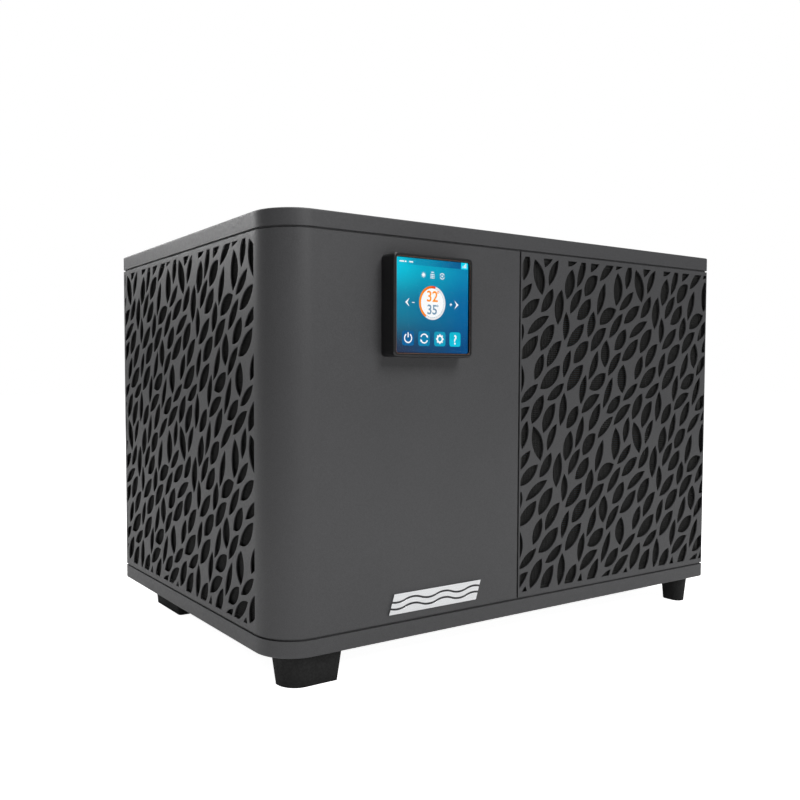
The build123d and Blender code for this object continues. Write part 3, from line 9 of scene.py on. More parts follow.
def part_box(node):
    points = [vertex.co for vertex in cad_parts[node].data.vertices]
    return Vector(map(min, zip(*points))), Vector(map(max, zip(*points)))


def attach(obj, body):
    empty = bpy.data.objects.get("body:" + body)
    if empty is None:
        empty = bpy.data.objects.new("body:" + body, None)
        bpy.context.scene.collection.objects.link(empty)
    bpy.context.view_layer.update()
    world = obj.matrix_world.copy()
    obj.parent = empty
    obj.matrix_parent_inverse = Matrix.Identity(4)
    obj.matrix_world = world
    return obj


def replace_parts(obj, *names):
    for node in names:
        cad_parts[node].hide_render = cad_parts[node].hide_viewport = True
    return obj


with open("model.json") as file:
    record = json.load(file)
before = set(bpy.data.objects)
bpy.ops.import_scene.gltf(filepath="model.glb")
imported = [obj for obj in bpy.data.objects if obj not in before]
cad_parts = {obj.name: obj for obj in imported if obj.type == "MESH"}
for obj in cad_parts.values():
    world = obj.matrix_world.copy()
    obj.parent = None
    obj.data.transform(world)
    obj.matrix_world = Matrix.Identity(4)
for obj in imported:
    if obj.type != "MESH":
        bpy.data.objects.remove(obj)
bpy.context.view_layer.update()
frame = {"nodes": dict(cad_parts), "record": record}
nodes = frame["nodes"]

MM = 0.001
CABINET = "cabinet"

# Net behind the leaf windows
NET_PITCH = 2.4 * MM
NET_WIRE = 0.55 * MM
NET_FRAME = 6 * MM
WIRE_SIDES = 6

# Evaporator: its depth and outer bend are the CAD's
COIL_THICK = 26 * MM
COIL_BEND = 50 * MM
FIN_PITCH = 1.8 * MM
FIN_THICK = 0.2 * MM
FIN_WAVE = 0.3 * MM
FIN_FOLDS = 6
TUBE_ROWS = 16
TUBE_RADIUS = 4.6 * MM
TUBE_SIDES = 12
END_PLATE = 1.2 * MM

# Softened edges of the sheets and of the badge; angles in degrees
SHEET_EDGE = 0.3 * MM
BADGE_EDGE = 0.6 * MM
EDGE_ANGLE = 38.0
SMOOTH_ANGLE = 40.0
WELD_REACH = 0.01 * MM

# Letters: font size over the height of a numeral, how far they stand out, how much bolder they are
FONT_SHARE = 1.37
LETTER_DEPTH = 0.03 * MM
BOLDER = 0.22 * MM

# Display: its face behind the front of the CAD node, and the height of each thin layer
SCREEN_SINK = 0.35 * MM
LAYER_STEP = 0.06 * MM
LAYER_DEPTH = 0.05 * MM
BACKDROP, FIELD, SIGN, READING = range(4)
PICTURE_CELLS = 4200

# Drawing on the display, as shares of its width from the left and from the top; angles in
# degrees, clockwise from the top
BAR_LEFT, BAR_RIGHT, BAR_LOW = 0.02, 0.89, 0.072
KEY_LEFT, KEY_RIGHT = 0.895, 0.99
DIAL_PLACE = (0.49, 0.462)
DIAL_RADIUS = 0.182
DIAL_RING = 0.026
DIAL_GAP = 0.002
RING_START, ARC_START, ARC_END = 14, 212, 374
WATER_READING, WATER_DEGREE = (-0.004, -0.074), (0.078, -0.118)
TARGET_READING, TARGET_DEGREE = (-0.004, 0.068), (0.072, 0.028)
BUTTON_COLUMNS = (0.162, 0.379, 0.597, 0.813)
BUTTON_ROW = 0.847
BUTTON_SIZE = 0.158
BUTTON_CORNER = 0.028
SIGN_REACH = 0.054
SIGN_STROKE = 0.014
POWER_GAP = 32
CYCLE_STARTS, CYCLE_ARC = (-68, 112), 130
ARROW_REACH, DASH_REACH = 0.335, 0.26
DASH_LONG, DASH_THICK, DASH_CORNER = 0.036, 0.008, 0.0038
STATUS_ROW = 0.168
SUN_PLACE = (0.367, STATUS_ROW)
EYE_PLACE = (0.625, STATUS_ROW)
TANK_PLACE = (0.49, STATUS_ROW)

# Tones across the display, from left to right
ARC_TONES = ((0.0, (0.95, 0.28, 0.0)), (0.55, (0.9, 0.17, 0.0)), (1.0, (0.75, 0.02, 0.005)))
BAR_TONES = ((0.0, (0.0, 0.50, 0.66)), (0.35, (0.0, 0.26, 0.42)), (1.0, (0.0, 0.105, 0.27)))
BUTTON_TONES = ((0.0, (0.0, 0.115, 0.31)), (0.24, (0.0, 0.205, 0.39)),
                (0.5, (0.0, 0.32, 0.49)), (0.76, (0.0, 0.50, 0.66)))

# Pressure gauge: its dial, and a scale over three quarters of a turn
GAUGE_DIAL_SINK = 1.95 * MM
GAUGE_DIAL_MARGIN = 0.4 * MM
GAUGE_DIAL_DEPTH = 0.4 * MM
GAUGE_INK_DEPTH = 0.1 * MM
GAUGE_SWEEP = 270
GAUGE_TICKS = 40
GAUGE_NUMBERS = 8
GAUGE_STEP = 5
GAUGE_NUMBER_HIGH = 3.4 * MM

# Studio
FLOOR_GLOW = 1.0
FLOOR_REACH = 14.0
ROOM_LIGHT = 0.12
LIGHT_TARGET = (0, 0, 0.24)

# Camera: angles in degrees, and the lens moved off its middle by shares of the frame
CAMERA_PLACE = (-0.6916, -0.8980, 0.2962)
CAMERA_TILT = 87.463
CAMERA_TURN = -32.757
SENSOR_WIDE = 36.0
LENS = 37.85
LENS_SHIFT = (0.08125, 0.0190)


# ---------------------------------------------------------------- materials

class Surface:
    """A principled material in object coordinates, built up with small helpers."""

    def __init__(self, name, **inputs):
        self.material = bpy.data.materials.new(name)
        self.material.use_nodes = True
        self.tree = self.material.node_tree
        self.bsdf = self.tree.nodes["Principled BSDF"]
        self.where = self.tree.nodes.new("ShaderNodeTexCoord").outputs["Object"]
        self.normal = None
        for key, value in inputs.items():
            self.bsdf.inputs[key.replace("_", " ")].default_value = value

    def add(self, kind, **settings):
        """A new node with its settings."""
        made = self.tree.nodes.new(kind)
        for key, value in settings.items():
            setattr(made, key, value)
        return made

    def join(self, output, target):
        """Link one node's output to another's input."""
        self.tree.links.new(output, target)

    def stretch(self, scale):
        """Coordinates that are scaled by a different factor along each axis."""
        mapping = self.add("ShaderNodeMapping")
        mapping.inputs["Scale"].default_value = scale
        self.join(self.where, mapping.inputs["Vector"])
        return mapping.outputs["Vector"]

    def noise(self, scale, detail=3.0, rough=0.55, where=None):
        """Cloudy noise, from 0 to 1."""
        made = self.add("ShaderNodeTexNoise")
        made.inputs["Scale"].default_value = scale
        made.inputs["Detail"].default_value = detail
        made.inputs["Roughness"].default_value = rough
        self.join(where or self.where, made.inputs["Vector"])
        return made.outputs["Fac"]

    def cells(self, scale, output="Distance", where=None):
        """Irregular cells: the distance from each one's middle, or a colour for each."""
        made = self.add("ShaderNodeTexVoronoi")
        made.inputs["Scale"].default_value = scale
        self.join(where or self.where, made.inputs["Vector"])
        return made.outputs[output]

    def ramp(self, factor, stops):
        """A smooth colour ramp; stops are (place, colour or grey level)."""
        made = self.add("ShaderNodeValToRGB")
        made.color_ramp.interpolation = "EASE"
        points = made.color_ramp.elements
        while len(points) < len(stops):
            points.new(0.5)
        for point, (place, value) in zip(points, stops):
            point.position = place
            point.color = (*value, 1) if isinstance(value, tuple) else (value, value, value, 1)
        self.join(factor, made.inputs["Fac"])
        return made.outputs["Color"]

    def blend(self, factor, first, second, kind="MIX"):
        """Mix two colour outputs by a factor."""
        made = self.add("ShaderNodeMix", data_type="RGBA", blend_type=kind)
        if isinstance(factor, float):
            made.inputs["Factor"].default_value = factor
        else:
            self.join(factor, made.inputs["Factor"])
        for output, socket in ((first, "A"), (second, "B")):
            target = [s for s in made.inputs if s.name == socket and s.type == "RGBA"][0]
            if isinstance(output, tuple):
                target.default_value = (*output, 1)
            else:
                self.join(output, target)
        return [s for s in made.outputs if s.type == "RGBA"][0]

    def height(self, output, distance, strength):
        """Bump from a height output; several are stacked."""
        made = self.add("ShaderNodeBump")
        made.inputs["Strength"].default_value = strength
        made.inputs["Distance"].default_value = distance
        self.join(output, made.inputs["Height"])
        if self.normal:
            self.join(self.normal, made.inputs["Normal"])
        self.normal = made.outputs["Normal"]
        self.join(self.normal, self.bsdf.inputs["Normal"])

    def color(self, output):
        """Set the base colour."""
        self.join(output, self.bsdf.inputs["Base Color"])

    def rough(self, factor, low, high):
        """Let the roughness go from low to high with a factor."""
        self.join(self.ramp(factor, ((0.3, low), (0.7, high))), self.bsdf.inputs["Roughness"])


def grey(level):
    """A neutral colour."""
    return (level, level, level)


def shade(color, factor):
    """A lighter or darker version of a colour."""
    return tuple(channel * factor for channel in color)


def powder_coat(name, color, gloss=0.46, grain=0.12 * MM):
    """Fine textured powder coat: orange peel, specks and a soft sheen."""
    s = Surface(name, Specular_IOR_Level=0.5)
    specks = s.noise(1500, detail=4, rough=0.7)
    clouds = s.noise(9, detail=3)
    fine = s.ramp(specks, ((0.3, shade(color, 0.8)), (0.72, shade(color, 1.22))))
    drift = s.ramp(clouds, ((0.3, grey(0.94)), (0.7, grey(1.0))))
    s.color(s.blend(1.0, fine, drift, "MULTIPLY"))
    s.rough(s.noise(420, detail=2), gloss - 0.05, gloss + 0.06)
    s.height(s.noise(850, detail=2, rough=0.5), grain, 0.5)
    s.height(specks, grain / 3, 0.5)
    return s.material


def moulded(name, color, gloss, grain_scale=900, grain=0.05 * MM, coat=0.0):
    """Moulded plastic with a spark-eroded grain and faint flow marks."""
    s = Surface(name, Coat_Weight=coat, Coat_Roughness=0.12)
    flow = s.noise(24, detail=4, rough=0.6, where=s.stretch((1, 1, 0.35)))
    s.color(s.ramp(flow, ((0.25, shade(color, 0.86)), (0.75, shade(color, 1.14)))))
    grain_map = s.noise(grain_scale, detail=3, rough=0.6)
    s.rough(grain_map, gloss - 0.06, gloss + 0.07)
    s.height(grain_map, grain, 0.6)
    return s.material


def rubber(name, color):
    """Matt rubber with a fine pitted skin and a little dust."""
    s = Surface(name, Specular_IOR_Level=0.35)
    dust = s.noise(60, detail=6, rough=0.7)
    s.color(s.ramp(dust, ((0.35, color), (0.85, shade(color, 1.9)))))
    s.rough(s.noise(500), 0.66, 0.86)
    s.height(s.cells(900), 0.05 * MM, 0.5)
    s.height(s.noise(1400, detail=2), 0.04 * MM, 0.5)
    return s.material


def galvanised(name):
    """Zinc-coated sheet with its spangle."""
    s = Surface(name, Metallic=1.0)
    spangle = s.cells(95, "Color")
    tone = s.ramp(spangle, ((0.1, grey(0.38)), (0.9, grey(0.58))))
    s.color(s.blend(0.25, tone, s.ramp(s.noise(30), ((0.3, grey(0.4)), (0.7, grey(0.62))))))
    s.rough(spangle, 0.3, 0.5)
    s.height(s.cells(95), 0.04 * MM, 0.25)
    return s.material


def bright_metal(name, color, gloss, streaks=(60, 60, 1400), depth=0.01 * MM):
    """Turned, drawn or plated metal with fine streaks along one direction."""
    s = Surface(name, Metallic=1.0)
    streak = s.noise(1.0, detail=4, rough=0.6, where=s.stretch(streaks))
    s.color(s.ramp(streak, ((0.25, shade(color, 0.86)), (0.8, color))))
    s.rough(streak, gloss - 0.05, gloss + 0.08)
    s.height(streak, depth, 0.4)
    return s.material


def copper_tube(name):
    """Copper with darker oxide patches."""
    s = Surface(name, Metallic=1.0)
    patches = s.noise(45, detail=6, rough=0.65)
    oxide, copper, bright = (0.30, 0.12, 0.06), (0.72, 0.34, 0.19), (0.86, 0.47, 0.3)
    s.color(s.ramp(patches, ((0.32, oxide), (0.55, copper), (0.8, bright))))
    s.rough(patches, 0.42, 0.24)
    s.height(s.noise(700), 0.02 * MM, 0.3)
    return s.material


def enamel(name, color):
    """Dipped black enamel on steel: glossy, with runs and specks."""
    s = Surface(name, Coat_Weight=0.5, Coat_Roughness=0.1)
    runs = s.noise(1.0, detail=4, where=s.stretch((70, 70, 14)))
    s.color(s.ramp(runs, ((0.3, shade(color, 0.75)), (0.75, shade(color, 1.35)))))
    s.rough(runs, 0.26, 0.4)
    s.height(runs, 0.2 * MM, 0.25)
    s.height(s.noise(600), 0.03 * MM, 0.4)
    return s.material


def laminations(name):
    """Stacked steel sheets, seen as fine level lines."""
    s = Surface(name, Metallic=0.9)
    lines = s.noise(1.0, detail=1, where=s.stretch((3, 3, 1800)))
    s.color(s.ramp(lines, ((0.3, grey(0.12)), (0.7, grey(0.36)))))
    s.rough(lines, 0.4, 0.62)
    s.height(lines, 0.08 * MM, 0.6)
    return s.material


def coil_fins(name):
    """Blue hydrophilic coating on thin aluminium, a little uneven from fin to fin."""
    s = Surface(name, Metallic=0.75)
    banks = s.noise(1.0, detail=5, rough=0.7, where=s.stretch((160, 160, 5)))
    s.color(s.ramp(banks, ((0.3, (0.07, 0.16, 0.26)), (0.7, (0.16, 0.31, 0.46)))))
    s.rough(banks, 0.34, 0.5)
    s.height(s.noise(300, detail=2), 0.05 * MM, 0.4)
    return s.material


def circuit_board(name, node):
    """Green lacquer with traces; what stands on the board is dark, silver or pale."""
    low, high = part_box(node)
    flat_axis = min(range(3), key=lambda axis: (high - low)[axis])
    s = Surface(name, Coat_Weight=0.4, Coat_Roughness=0.15)
    traces = s.cells(260, where=s.stretch((1, 3, 1)))
    gold, dark_green, green = (0.30, 0.24, 0.08), (0.012, 0.10, 0.035), (0.02, 0.16, 0.05)
    lacquer = s.ramp(traces, ((0.05, gold), (0.16, dark_green), (0.9, green)))
    silver = (0.32, 0.33, 0.35)
    parts = s.ramp(s.cells(38, "Color"), ((0.2, grey(0.02)), (0.55, grey(0.06)), (0.8, silver)))
    depth = (high - low)[flat_axis]
    if flat_axis == 2:
        base = low[flat_axis] + 0.25 * depth
        above = base + 0.4 * MM
    else:
        base = high[flat_axis] - 0.7 * depth
        above = base - 0.4 * MM
    s.color(s.blend(along(s, flat_axis, base, above), lacquer, parts))
    s.rough(traces, 0.3, 0.5)
    s.height(traces, 0.05 * MM, 0.4)
    return s.material


def clear_cover(name, tint, bend):
    """Clear cover: see-through, with a gloss of its own and faint smears."""
    s = Surface(name, Transmission_Weight=1.0, IOR=bend, Base_Color=(*tint, 1))
    smears = s.noise(30, detail=5, rough=0.7)
    s.rough(smears, 0.015, 0.06)
    s.height(s.noise(120), 0.01 * MM, 0.1)
    return s.material


def glow(s, picture):
    """Show a colour by its own light, over a dim body of the same colour."""
    s.color(s.blend(1.0, picture, grey(0.12), "MULTIPLY"))
    s.join(picture, s.bsdf.inputs["Emission Color"])


def lit_surface(name, rough=0.35):
    """A surface that shows a picture by its own light."""
    return Surface(name, Roughness=rough, Specular_IOR_Level=0.2, Emission_Strength=1.0)


def lit(name, tones):
    """Something lit from behind, with a fine grid of picture cells."""
    s = lit_surface(name)
    glow(s, s.ramp(s.cells(PICTURE_CELLS), ((0.1, tones[0]), (0.9, tones[1]))))
    return s.material


def along(s, axis, low, high):
    """0 to 1 from low to high along one axis of the object."""
    split = s.add("ShaderNodeSeparateXYZ")
    s.join(s.where, split.inputs["Vector"])
    share = s.add("ShaderNodeMapRange")
    s.join(split.outputs[axis], share.inputs["Value"])
    share.inputs["From Min"].default_value = low
    share.inputs["From Max"].default_value = high
    return share.outputs["Result"]


def with_cells(s, picture, edge):
    """A picture under its fine grid of cells; edge is the grey level at a cell's rim."""
    cells = s.ramp(s.cells(PICTURE_CELLS), ((0.0, grey(1.0)), (1.0, grey(edge))))
    return s.blend(1.0, picture, cells, "MULTIPLY")


def screen_picture(name, low, high):
    """Back-lit gradient: cyan at the upper left, deep blue right, violet at the lower left."""
    s = lit_surface(name, 0.3)
    across, up = along(s, "X", low.x, high.x), along(s, "Z", low.z, high.z)
    rows = (((0.0, (0.0, 0.52, 0.68)), (0.45, (0.0, 0.36, 0.52)), (1.0, (0.0, 0.23, 0.43))),
            ((0.0, (0.006, 0.20, 0.32)), (0.5, (0.002, 0.16, 0.31)), (1.0, (0.0, 0.125, 0.32))),
            ((0.0, (0.022, 0.037, 0.08)), (0.5, (0.006, 0.055, 0.15)), (1.0, (0.0, 0.065, 0.21))))
    top, middle, bottom = [s.ramp(across, tones) for tones in rows]
    lower = s.blend(s.ramp(up, ((0.0, 0.0), (0.5, 1.0))), bottom, middle)
    picture = s.blend(s.ramp(up, ((0.5, 0.0), (0.95, 1.0))), lower, top)
    glow(s, with_cells(s, picture, 0.93))
    return s.material


def across_tones(name, tones, low, high):
    """Tones that run from left to right."""
    s = lit_surface(name)
    glow(s, with_cells(s, s.ramp(along(s, "X", low.x, high.x), tones), 0.95))
    return s.material


def button_tones(name, low, high):
    """Four buttons, each a lighter blue than the one on its left."""
    s = lit_surface(name)
    tone = s.ramp(along(s, "X", low.x, high.x), BUTTON_TONES)
    tone.node.color_ramp.interpolation = "CONSTANT"
    fade = s.ramp(along(s, "Z", low.z, high.z), ((0.0, grey(1.0)), (1.0, grey(0.86))))
    glow(s, s.blend(1.0, tone, fade, "MULTIPLY"))
    return s.material


def slot_materials():
    """One finish for each material slot of the record; each board has one of its own."""
    plating, polish = (25, 25, 900), 0.004 * MM
    return {
        "cabinet_grey": powder_coat("cabinet_grey_paint", (0.058, 0.058, 0.0605)),
        "guard_black": powder_coat("guard_black_paint", (0.011, 0.011, 0.0105), 0.6),
        "galvanised_steel": galvanised("galvanised_sheet"),
        "foot_rubber": rubber("foot_rubber_black", (0.008, 0.008, 0.008)),
        "screw_steel": bright_metal("zinc_plated_steel", (0.62, 0.62, 0.6), 0.3),
        "badge_chrome": bright_metal("badge_chrome_finish", (0.86, 0.87, 0.88), 0.14, plating, polish),
        "controller_black": moulded("controller_black_shell", (0.010, 0.010, 0.011), 0.34, 1100, 0.03 * MM),
        "bezel_metal": bright_metal("bezel_anodised", (0.34, 0.20, 0.15), 0.3, (900, 900, 900)),
        "screen_glass": clear_cover("screen_cover_glass", (0.98, 0.99, 1.0), 1.16),
        "screen_display": lit("display_plain", ((0.0, 0.12, 0.3), (0.0, 0.16, 0.36))),
        "board_green": None,
        "fan_plastic": moulded("fan_blade_plastic", (0.02, 0.02, 0.021), 0.45),
        "motor_black": enamel("motor_enamel", (0.018, 0.018, 0.018)),
        "fin_aluminium": coil_fins("fin_blue_aluminium"),
        "copper": copper_tube("copper_oxidised"),
        "compressor_black": enamel("compressor_enamel", (0.012, 0.012, 0.012)),
        "steel_lamination": laminations("stacked_steel"),
        "fitting_plastic": moulded("fitting_nylon", (0.022, 0.022, 0.022), 0.42, 700),
        "vessel_plastic": moulded("vessel_pvc", (0.045, 0.046, 0.05), 0.38, 500),
        "titanium": bright_metal("titanium_tube", (0.42, 0.39, 0.36), 0.32, (300, 300, 300)),
        "union_plastic": moulded("union_pvc", (0.075, 0.076, 0.08), 0.36, 600, 0.04 * MM),
        "brass": bright_metal("brass_machined", (0.72, 0.5, 0.22), 0.28, (500, 500, 60)),
        "gauge_steel": bright_metal("gauge_stainless", (0.66, 0.66, 0.65), 0.2, (900, 60, 900)),
        "needle_red": moulded("needle_red_paint", (0.55, 0.012, 0.01), 0.35),
        "gauge_clear": clear_cover("gauge_cover_clear", (0.98, 0.98, 0.98), 1.1),
    }


# ---------------------------------------------------------------- mesh helpers

def piece_from(bm, name, material, body=CABINET, smooth=None):
    """Turn a bmesh into a piece that rides on a body."""
    bmesh.ops.recalc_face_normals(bm, faces=bm.faces)
    mesh = bpy.data.meshes.new(name)
    bm.to_mesh(mesh)
    bm.free()
    mesh.materials.append(material)
    piece = bpy.data.objects.new(name, mesh)
    bpy.context.scene.collection.objects.link(piece)
    if smooth:
        for face in mesh.polygons:
            face.use_smooth = True
        mesh.set_sharp_from_angle(angle=math.radians(smooth))
    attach(piece, body)
    return piece


def prism(bm, outline, lift, depth):
    """Raise a flat outline along depth; lift turns a 2-D point into a place."""
    front = [bm.verts.new(lift(*point)) for point in outline]
    back = [bm.verts.new(v.co + depth) for v in front]
    bm.faces.new(front)
    bm.faces.new(back[::-1])
    for k in range(len(outline)):
        other = (k + 1) % len(outline)
        bm.faces.new((front[k], back[k], back[other], front[other]))


def box(bm, low, high):
    """A box between two corners."""
    outline = [(low[0], low[1]), (high[0], low[1]), (high[0], high[1]), (low[0], high[1])]
    prism(bm, outline, lambda x, y: Vector((x, y, low[2])), Vector((0, 0, high[2] - low[2])))


def circle(radius, sides):
    """Points of a regular outline round the origin."""
    turns = [2 * math.pi * k / sides for k in range(sides)]
    return [(radius * math.cos(turn), radius * math.sin(turn)) for turn in turns]


def bar(bm, start, end, radius):
    """A straight round wire."""
    turn = (end - start).to_track_quat("Z", "Y")
    outline = circle(radius, WIRE_SIDES)
    prism(bm, outline, lambda x, y: start + turn @ Vector((x, y, 0)), end - start)


def sweep_tube(bm, route, radius):
    """A tube that follows a list of points, with flat ends."""
    rings = []
    for k, point in enumerate(route):
        ahead = route[min(k + 1, len(route) - 1)] - route[max(k - 1, 0)]
        turn = ahead.to_track_quat("Z", "Y")
        rings.append([bm.verts.new(point + turn @ Vector((x, y, 0))) for x, y in circle(radius, TUBE_SIDES)])
    for first, second in zip(rings, rings[1:]):
        for side in range(TUBE_SIDES):
            other = (side + 1) % TUBE_SIDES
            bm.faces.new((first[side], first[other], second[other], second[side]))
    bm.faces.new(rings[0][::-1])
    bm.faces.new(rings[-1])


def lettering(text, place, high, turn, weight, name, material):
    """A number or sign as a thin upright mesh about a place; a turn of 0 faces the front."""
    curve = bpy.data.curves.new(name, "FONT")
    curve.body = text
    curve.size = high * FONT_SHARE
    curve.align_x = "CENTER"
    curve.extrude = LETTER_DEPTH
    curve.offset = weight
    maker = bpy.data.objects.new(name + "_line", curve)
    bpy.context.scene.collection.objects.link(maker)
    bpy.context.view_layer.update()
    drawn = maker.evaluated_get(bpy.context.evaluated_depsgraph_get())
    mesh = bpy.data.meshes.new_from_object(drawn)
    bpy.data.objects.remove(maker)
    upright = Euler((math.pi / 2, 0, turn)).to_matrix().to_4x4()
    mesh.transform(Matrix.Translation(place - Vector((0, 0, high / 2))) @ upright)
    mesh.materials.clear()
    mesh.materials.append(material)
    piece = bpy.data.objects.new(name, mesh)
    bpy.context.scene.collection.objects.link(piece)
    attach(piece, CABINET)


def half_box(node, keep):
    """Corners of that part of a node whose vertices pass a test."""
    kept = [v.co for v in nodes[node].data.vertices if keep(v.co)]
    low = Vector([min(co[axis] for co in kept) for axis in range(3)])
    high = Vector([max(co[axis] for co in kept) for axis in range(3)])
    return low, high


# ---------------------------------------------------------------- CAD nodes

def dress(finishes):
    """Give every CAD node its finish."""
    for row in frame["record"]["subparts"]:
        name, slot = row["node"], row["material_slot"]
        finish = finishes[slot] or circuit_board(name + "_finish", name)
        for place in nodes[name].material_slots:
            place.material = finish


def soften(name, width):
    """Round the sharp edges of a CAD node a little, without touching its mesh."""
    piece = nodes[name]
    weld = piece.modifiers.new("weld", "WELD")
    weld.merge_threshold = WELD_REACH
    bevel = piece.modifiers.new("edge", "BEVEL")
    bevel.width = width
    bevel.segments = 2
    bevel.limit_method = "ANGLE"
    bevel.angle_limit = math.radians(EDGE_ANGLE)
    bevel.use_clamp_overlap = True
    bevel.harden_normals = False
    normals = piece.modifiers.new("normals", "WEIGHTED_NORMAL")
    normals.keep_sharp = False


# ---------------------------------------------------------------- nets behind the windows

def net(name, low, high, across, finish):
    """Fly-screen net: a layer of upright wires, a layer of level ones and a frame round them."""
    bm = bmesh.new()
    depth = 1 - across
    front, back = low[depth], high[depth]
    outer = front if abs(front) > abs(back) else back
    inner = back if outer == front else front
    inward = math.copysign(NET_WIRE, inner - outer)

    def place(u, d, z):
        """A point from its places across the net, through it and up."""
        return Vector((u, d, z)) if across == 0 else Vector((d, u, z))

    start, end, reach = low[across], high[across], NET_FRAME / 2
    uprights = int((end - start - NET_FRAME) / NET_PITCH)
    for k in range(uprights):
        u = (start + end) / 2 + (k - (uprights - 1) / 2) * NET_PITCH
        d = outer + inward
        bar(bm, place(u, d, low.z + reach), place(u, d, high.z - reach), NET_WIRE)
    levels = int((high.z - low.z - NET_FRAME) / NET_PITCH)
    for k in range(levels):
        z = (low.z + high.z) / 2 + (k - (levels - 1) / 2) * NET_PITCH
        d = outer + 2 * inward
        bar(bm, place(start + reach, d, z), place(end - reach, d, z), NET_WIRE)
    edges = ((start, start + NET_FRAME, low.z, high.z),
             (end - NET_FRAME, end, low.z, high.z),
             (start + NET_FRAME, end - NET_FRAME, low.z, low.z + NET_FRAME),
             (start + NET_FRAME, end - NET_FRAME, high.z - NET_FRAME, high.z))
    for u0, u1, z0, z1 in edges:
        box(bm, place(u0, front, z0), place(u1, back, z1))
    return piece_from(bm, name, finish, smooth=SMOOTH_ANGLE)


def make_nets(finish):
    """One net behind the front windows and one behind each side's."""
    low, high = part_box("front_screen")
    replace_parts(net("front_net", low, high, 0, finish), "front_screen")
    low, high = half_box("side_screens", lambda co: co.x < 0)
    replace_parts(net("left_net", low, high, 1, finish), "side_screens")
    low, high = half_box("side_screens", lambda co: co.x > 0)
    net("right_net", low, high, 1, finish)


# ---------------------------------------------------------------- evaporator

def coil_route(low, high, inset):
    """Along the L of the coil, at a fin's pitch: (point, outward direction)."""
    radius = COIL_BEND
    centre = Vector((high.x - radius, high.y - radius, 0))
    stations = []
    length = centre.x - low.x
    count = int(length / FIN_PITCH)
    for k in range(count):
        stations.append((Vector((low.x + length * k / count, high.y, 0)), Vector((0, 1, 0))))
    count = int(radius * math.pi / 2 / FIN_PITCH)
    for k in range(count):
        angle = math.pi / 2 * (1 - k / count)
        out = Vector((math.cos(angle), math.sin(angle), 0))
        stations.append((centre + radius * out, out))
    length = centre.y - low.y
    count = int(length / FIN_PITCH)
    for k in range(count + 1):
        stations.append((Vector((high.x, centre.y - length * k / count, 0)), Vector((1, 0, 0))))
    return [(point - out * inset, out) for point, out in stations]


def fin(bm, point, out, z0, z1):
    """One folded fin that stands across the coil."""
    side = Vector((out.y, -out.x, 0))
    outline = []
    for k in range(FIN_FOLDS + 1):
        wave = FIN_WAVE if k % 2 else -FIN_WAVE
        outline.append(point - out * (COIL_THICK * k / FIN_FOLDS) + side * wave)
    half = side * (FIN_THICK / 2)
    loop = [p - half for p in outline] + [p + half for p in outline[::-1]]
    bottom = [bm.verts.new((p.x, p.y, z0)) for p in loop]
    top = [bm.verts.new((p.x, p.y, z1)) for p in loop]
    for k in range(len(loop)):
        other = (k + 1) % len(loop)
        bm.faces.new((bottom[k], bottom[other], top[other], top[k]))
    folds = FIN_FOLDS + 1
    for k in range(FIN_FOLDS):
        mirror = 2 * folds - 1 - k
        bm.faces.new((bottom[k], bottom[mirror], bottom[mirror - 1], bottom[k + 1]))
        bm.faces.new((top[k], top[k + 1], top[mirror - 1], top[mirror]))


def make_coil(finishes):
    """Folded fins on copper tubes, between two end plates."""
    low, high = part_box("evaporator_coil")
    bm = bmesh.new()
    for point, out in coil_route(low, high, 0.0):
        fin(bm, point, out, low.z, high.z)
    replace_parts(piece_from(bm, "coil_fins", finishes["fin_aluminium"]), "evaporator_coil")
    bm = bmesh.new()
    line = coil_route(low, high, COIL_THICK / 2)
    corner = [k for k, (_, out) in enumerate(line) if 0 < out.x < 1]
    points = [line[0][0]] + [line[k][0] for k in corner[::3]] + [line[-1][0]]
    for row in range(TUBE_ROWS):
        z = low.z + (high.z - low.z) * (row + 0.5) / TUBE_ROWS
        sweep_tube(bm, [Vector((p.x, p.y, z)) for p in points], TUBE_RADIUS)
    piece_from(bm, "coil_tubes", finishes["copper"], smooth=SMOOTH_ANGLE)
    bm = bmesh.new()
    half = END_PLATE / 2
    box(bm, (low.x - half, high.y - COIL_THICK, low.z), (low.x + half, high.y, high.z))
    box(bm, (high.x - COIL_THICK, low.y - half, low.z), (high.x, low.y + half, high.z))
    piece_from(bm, "coil_end_plates", finishes["galvanised_steel"])


# ---------------------------------------------------------------- controller screen

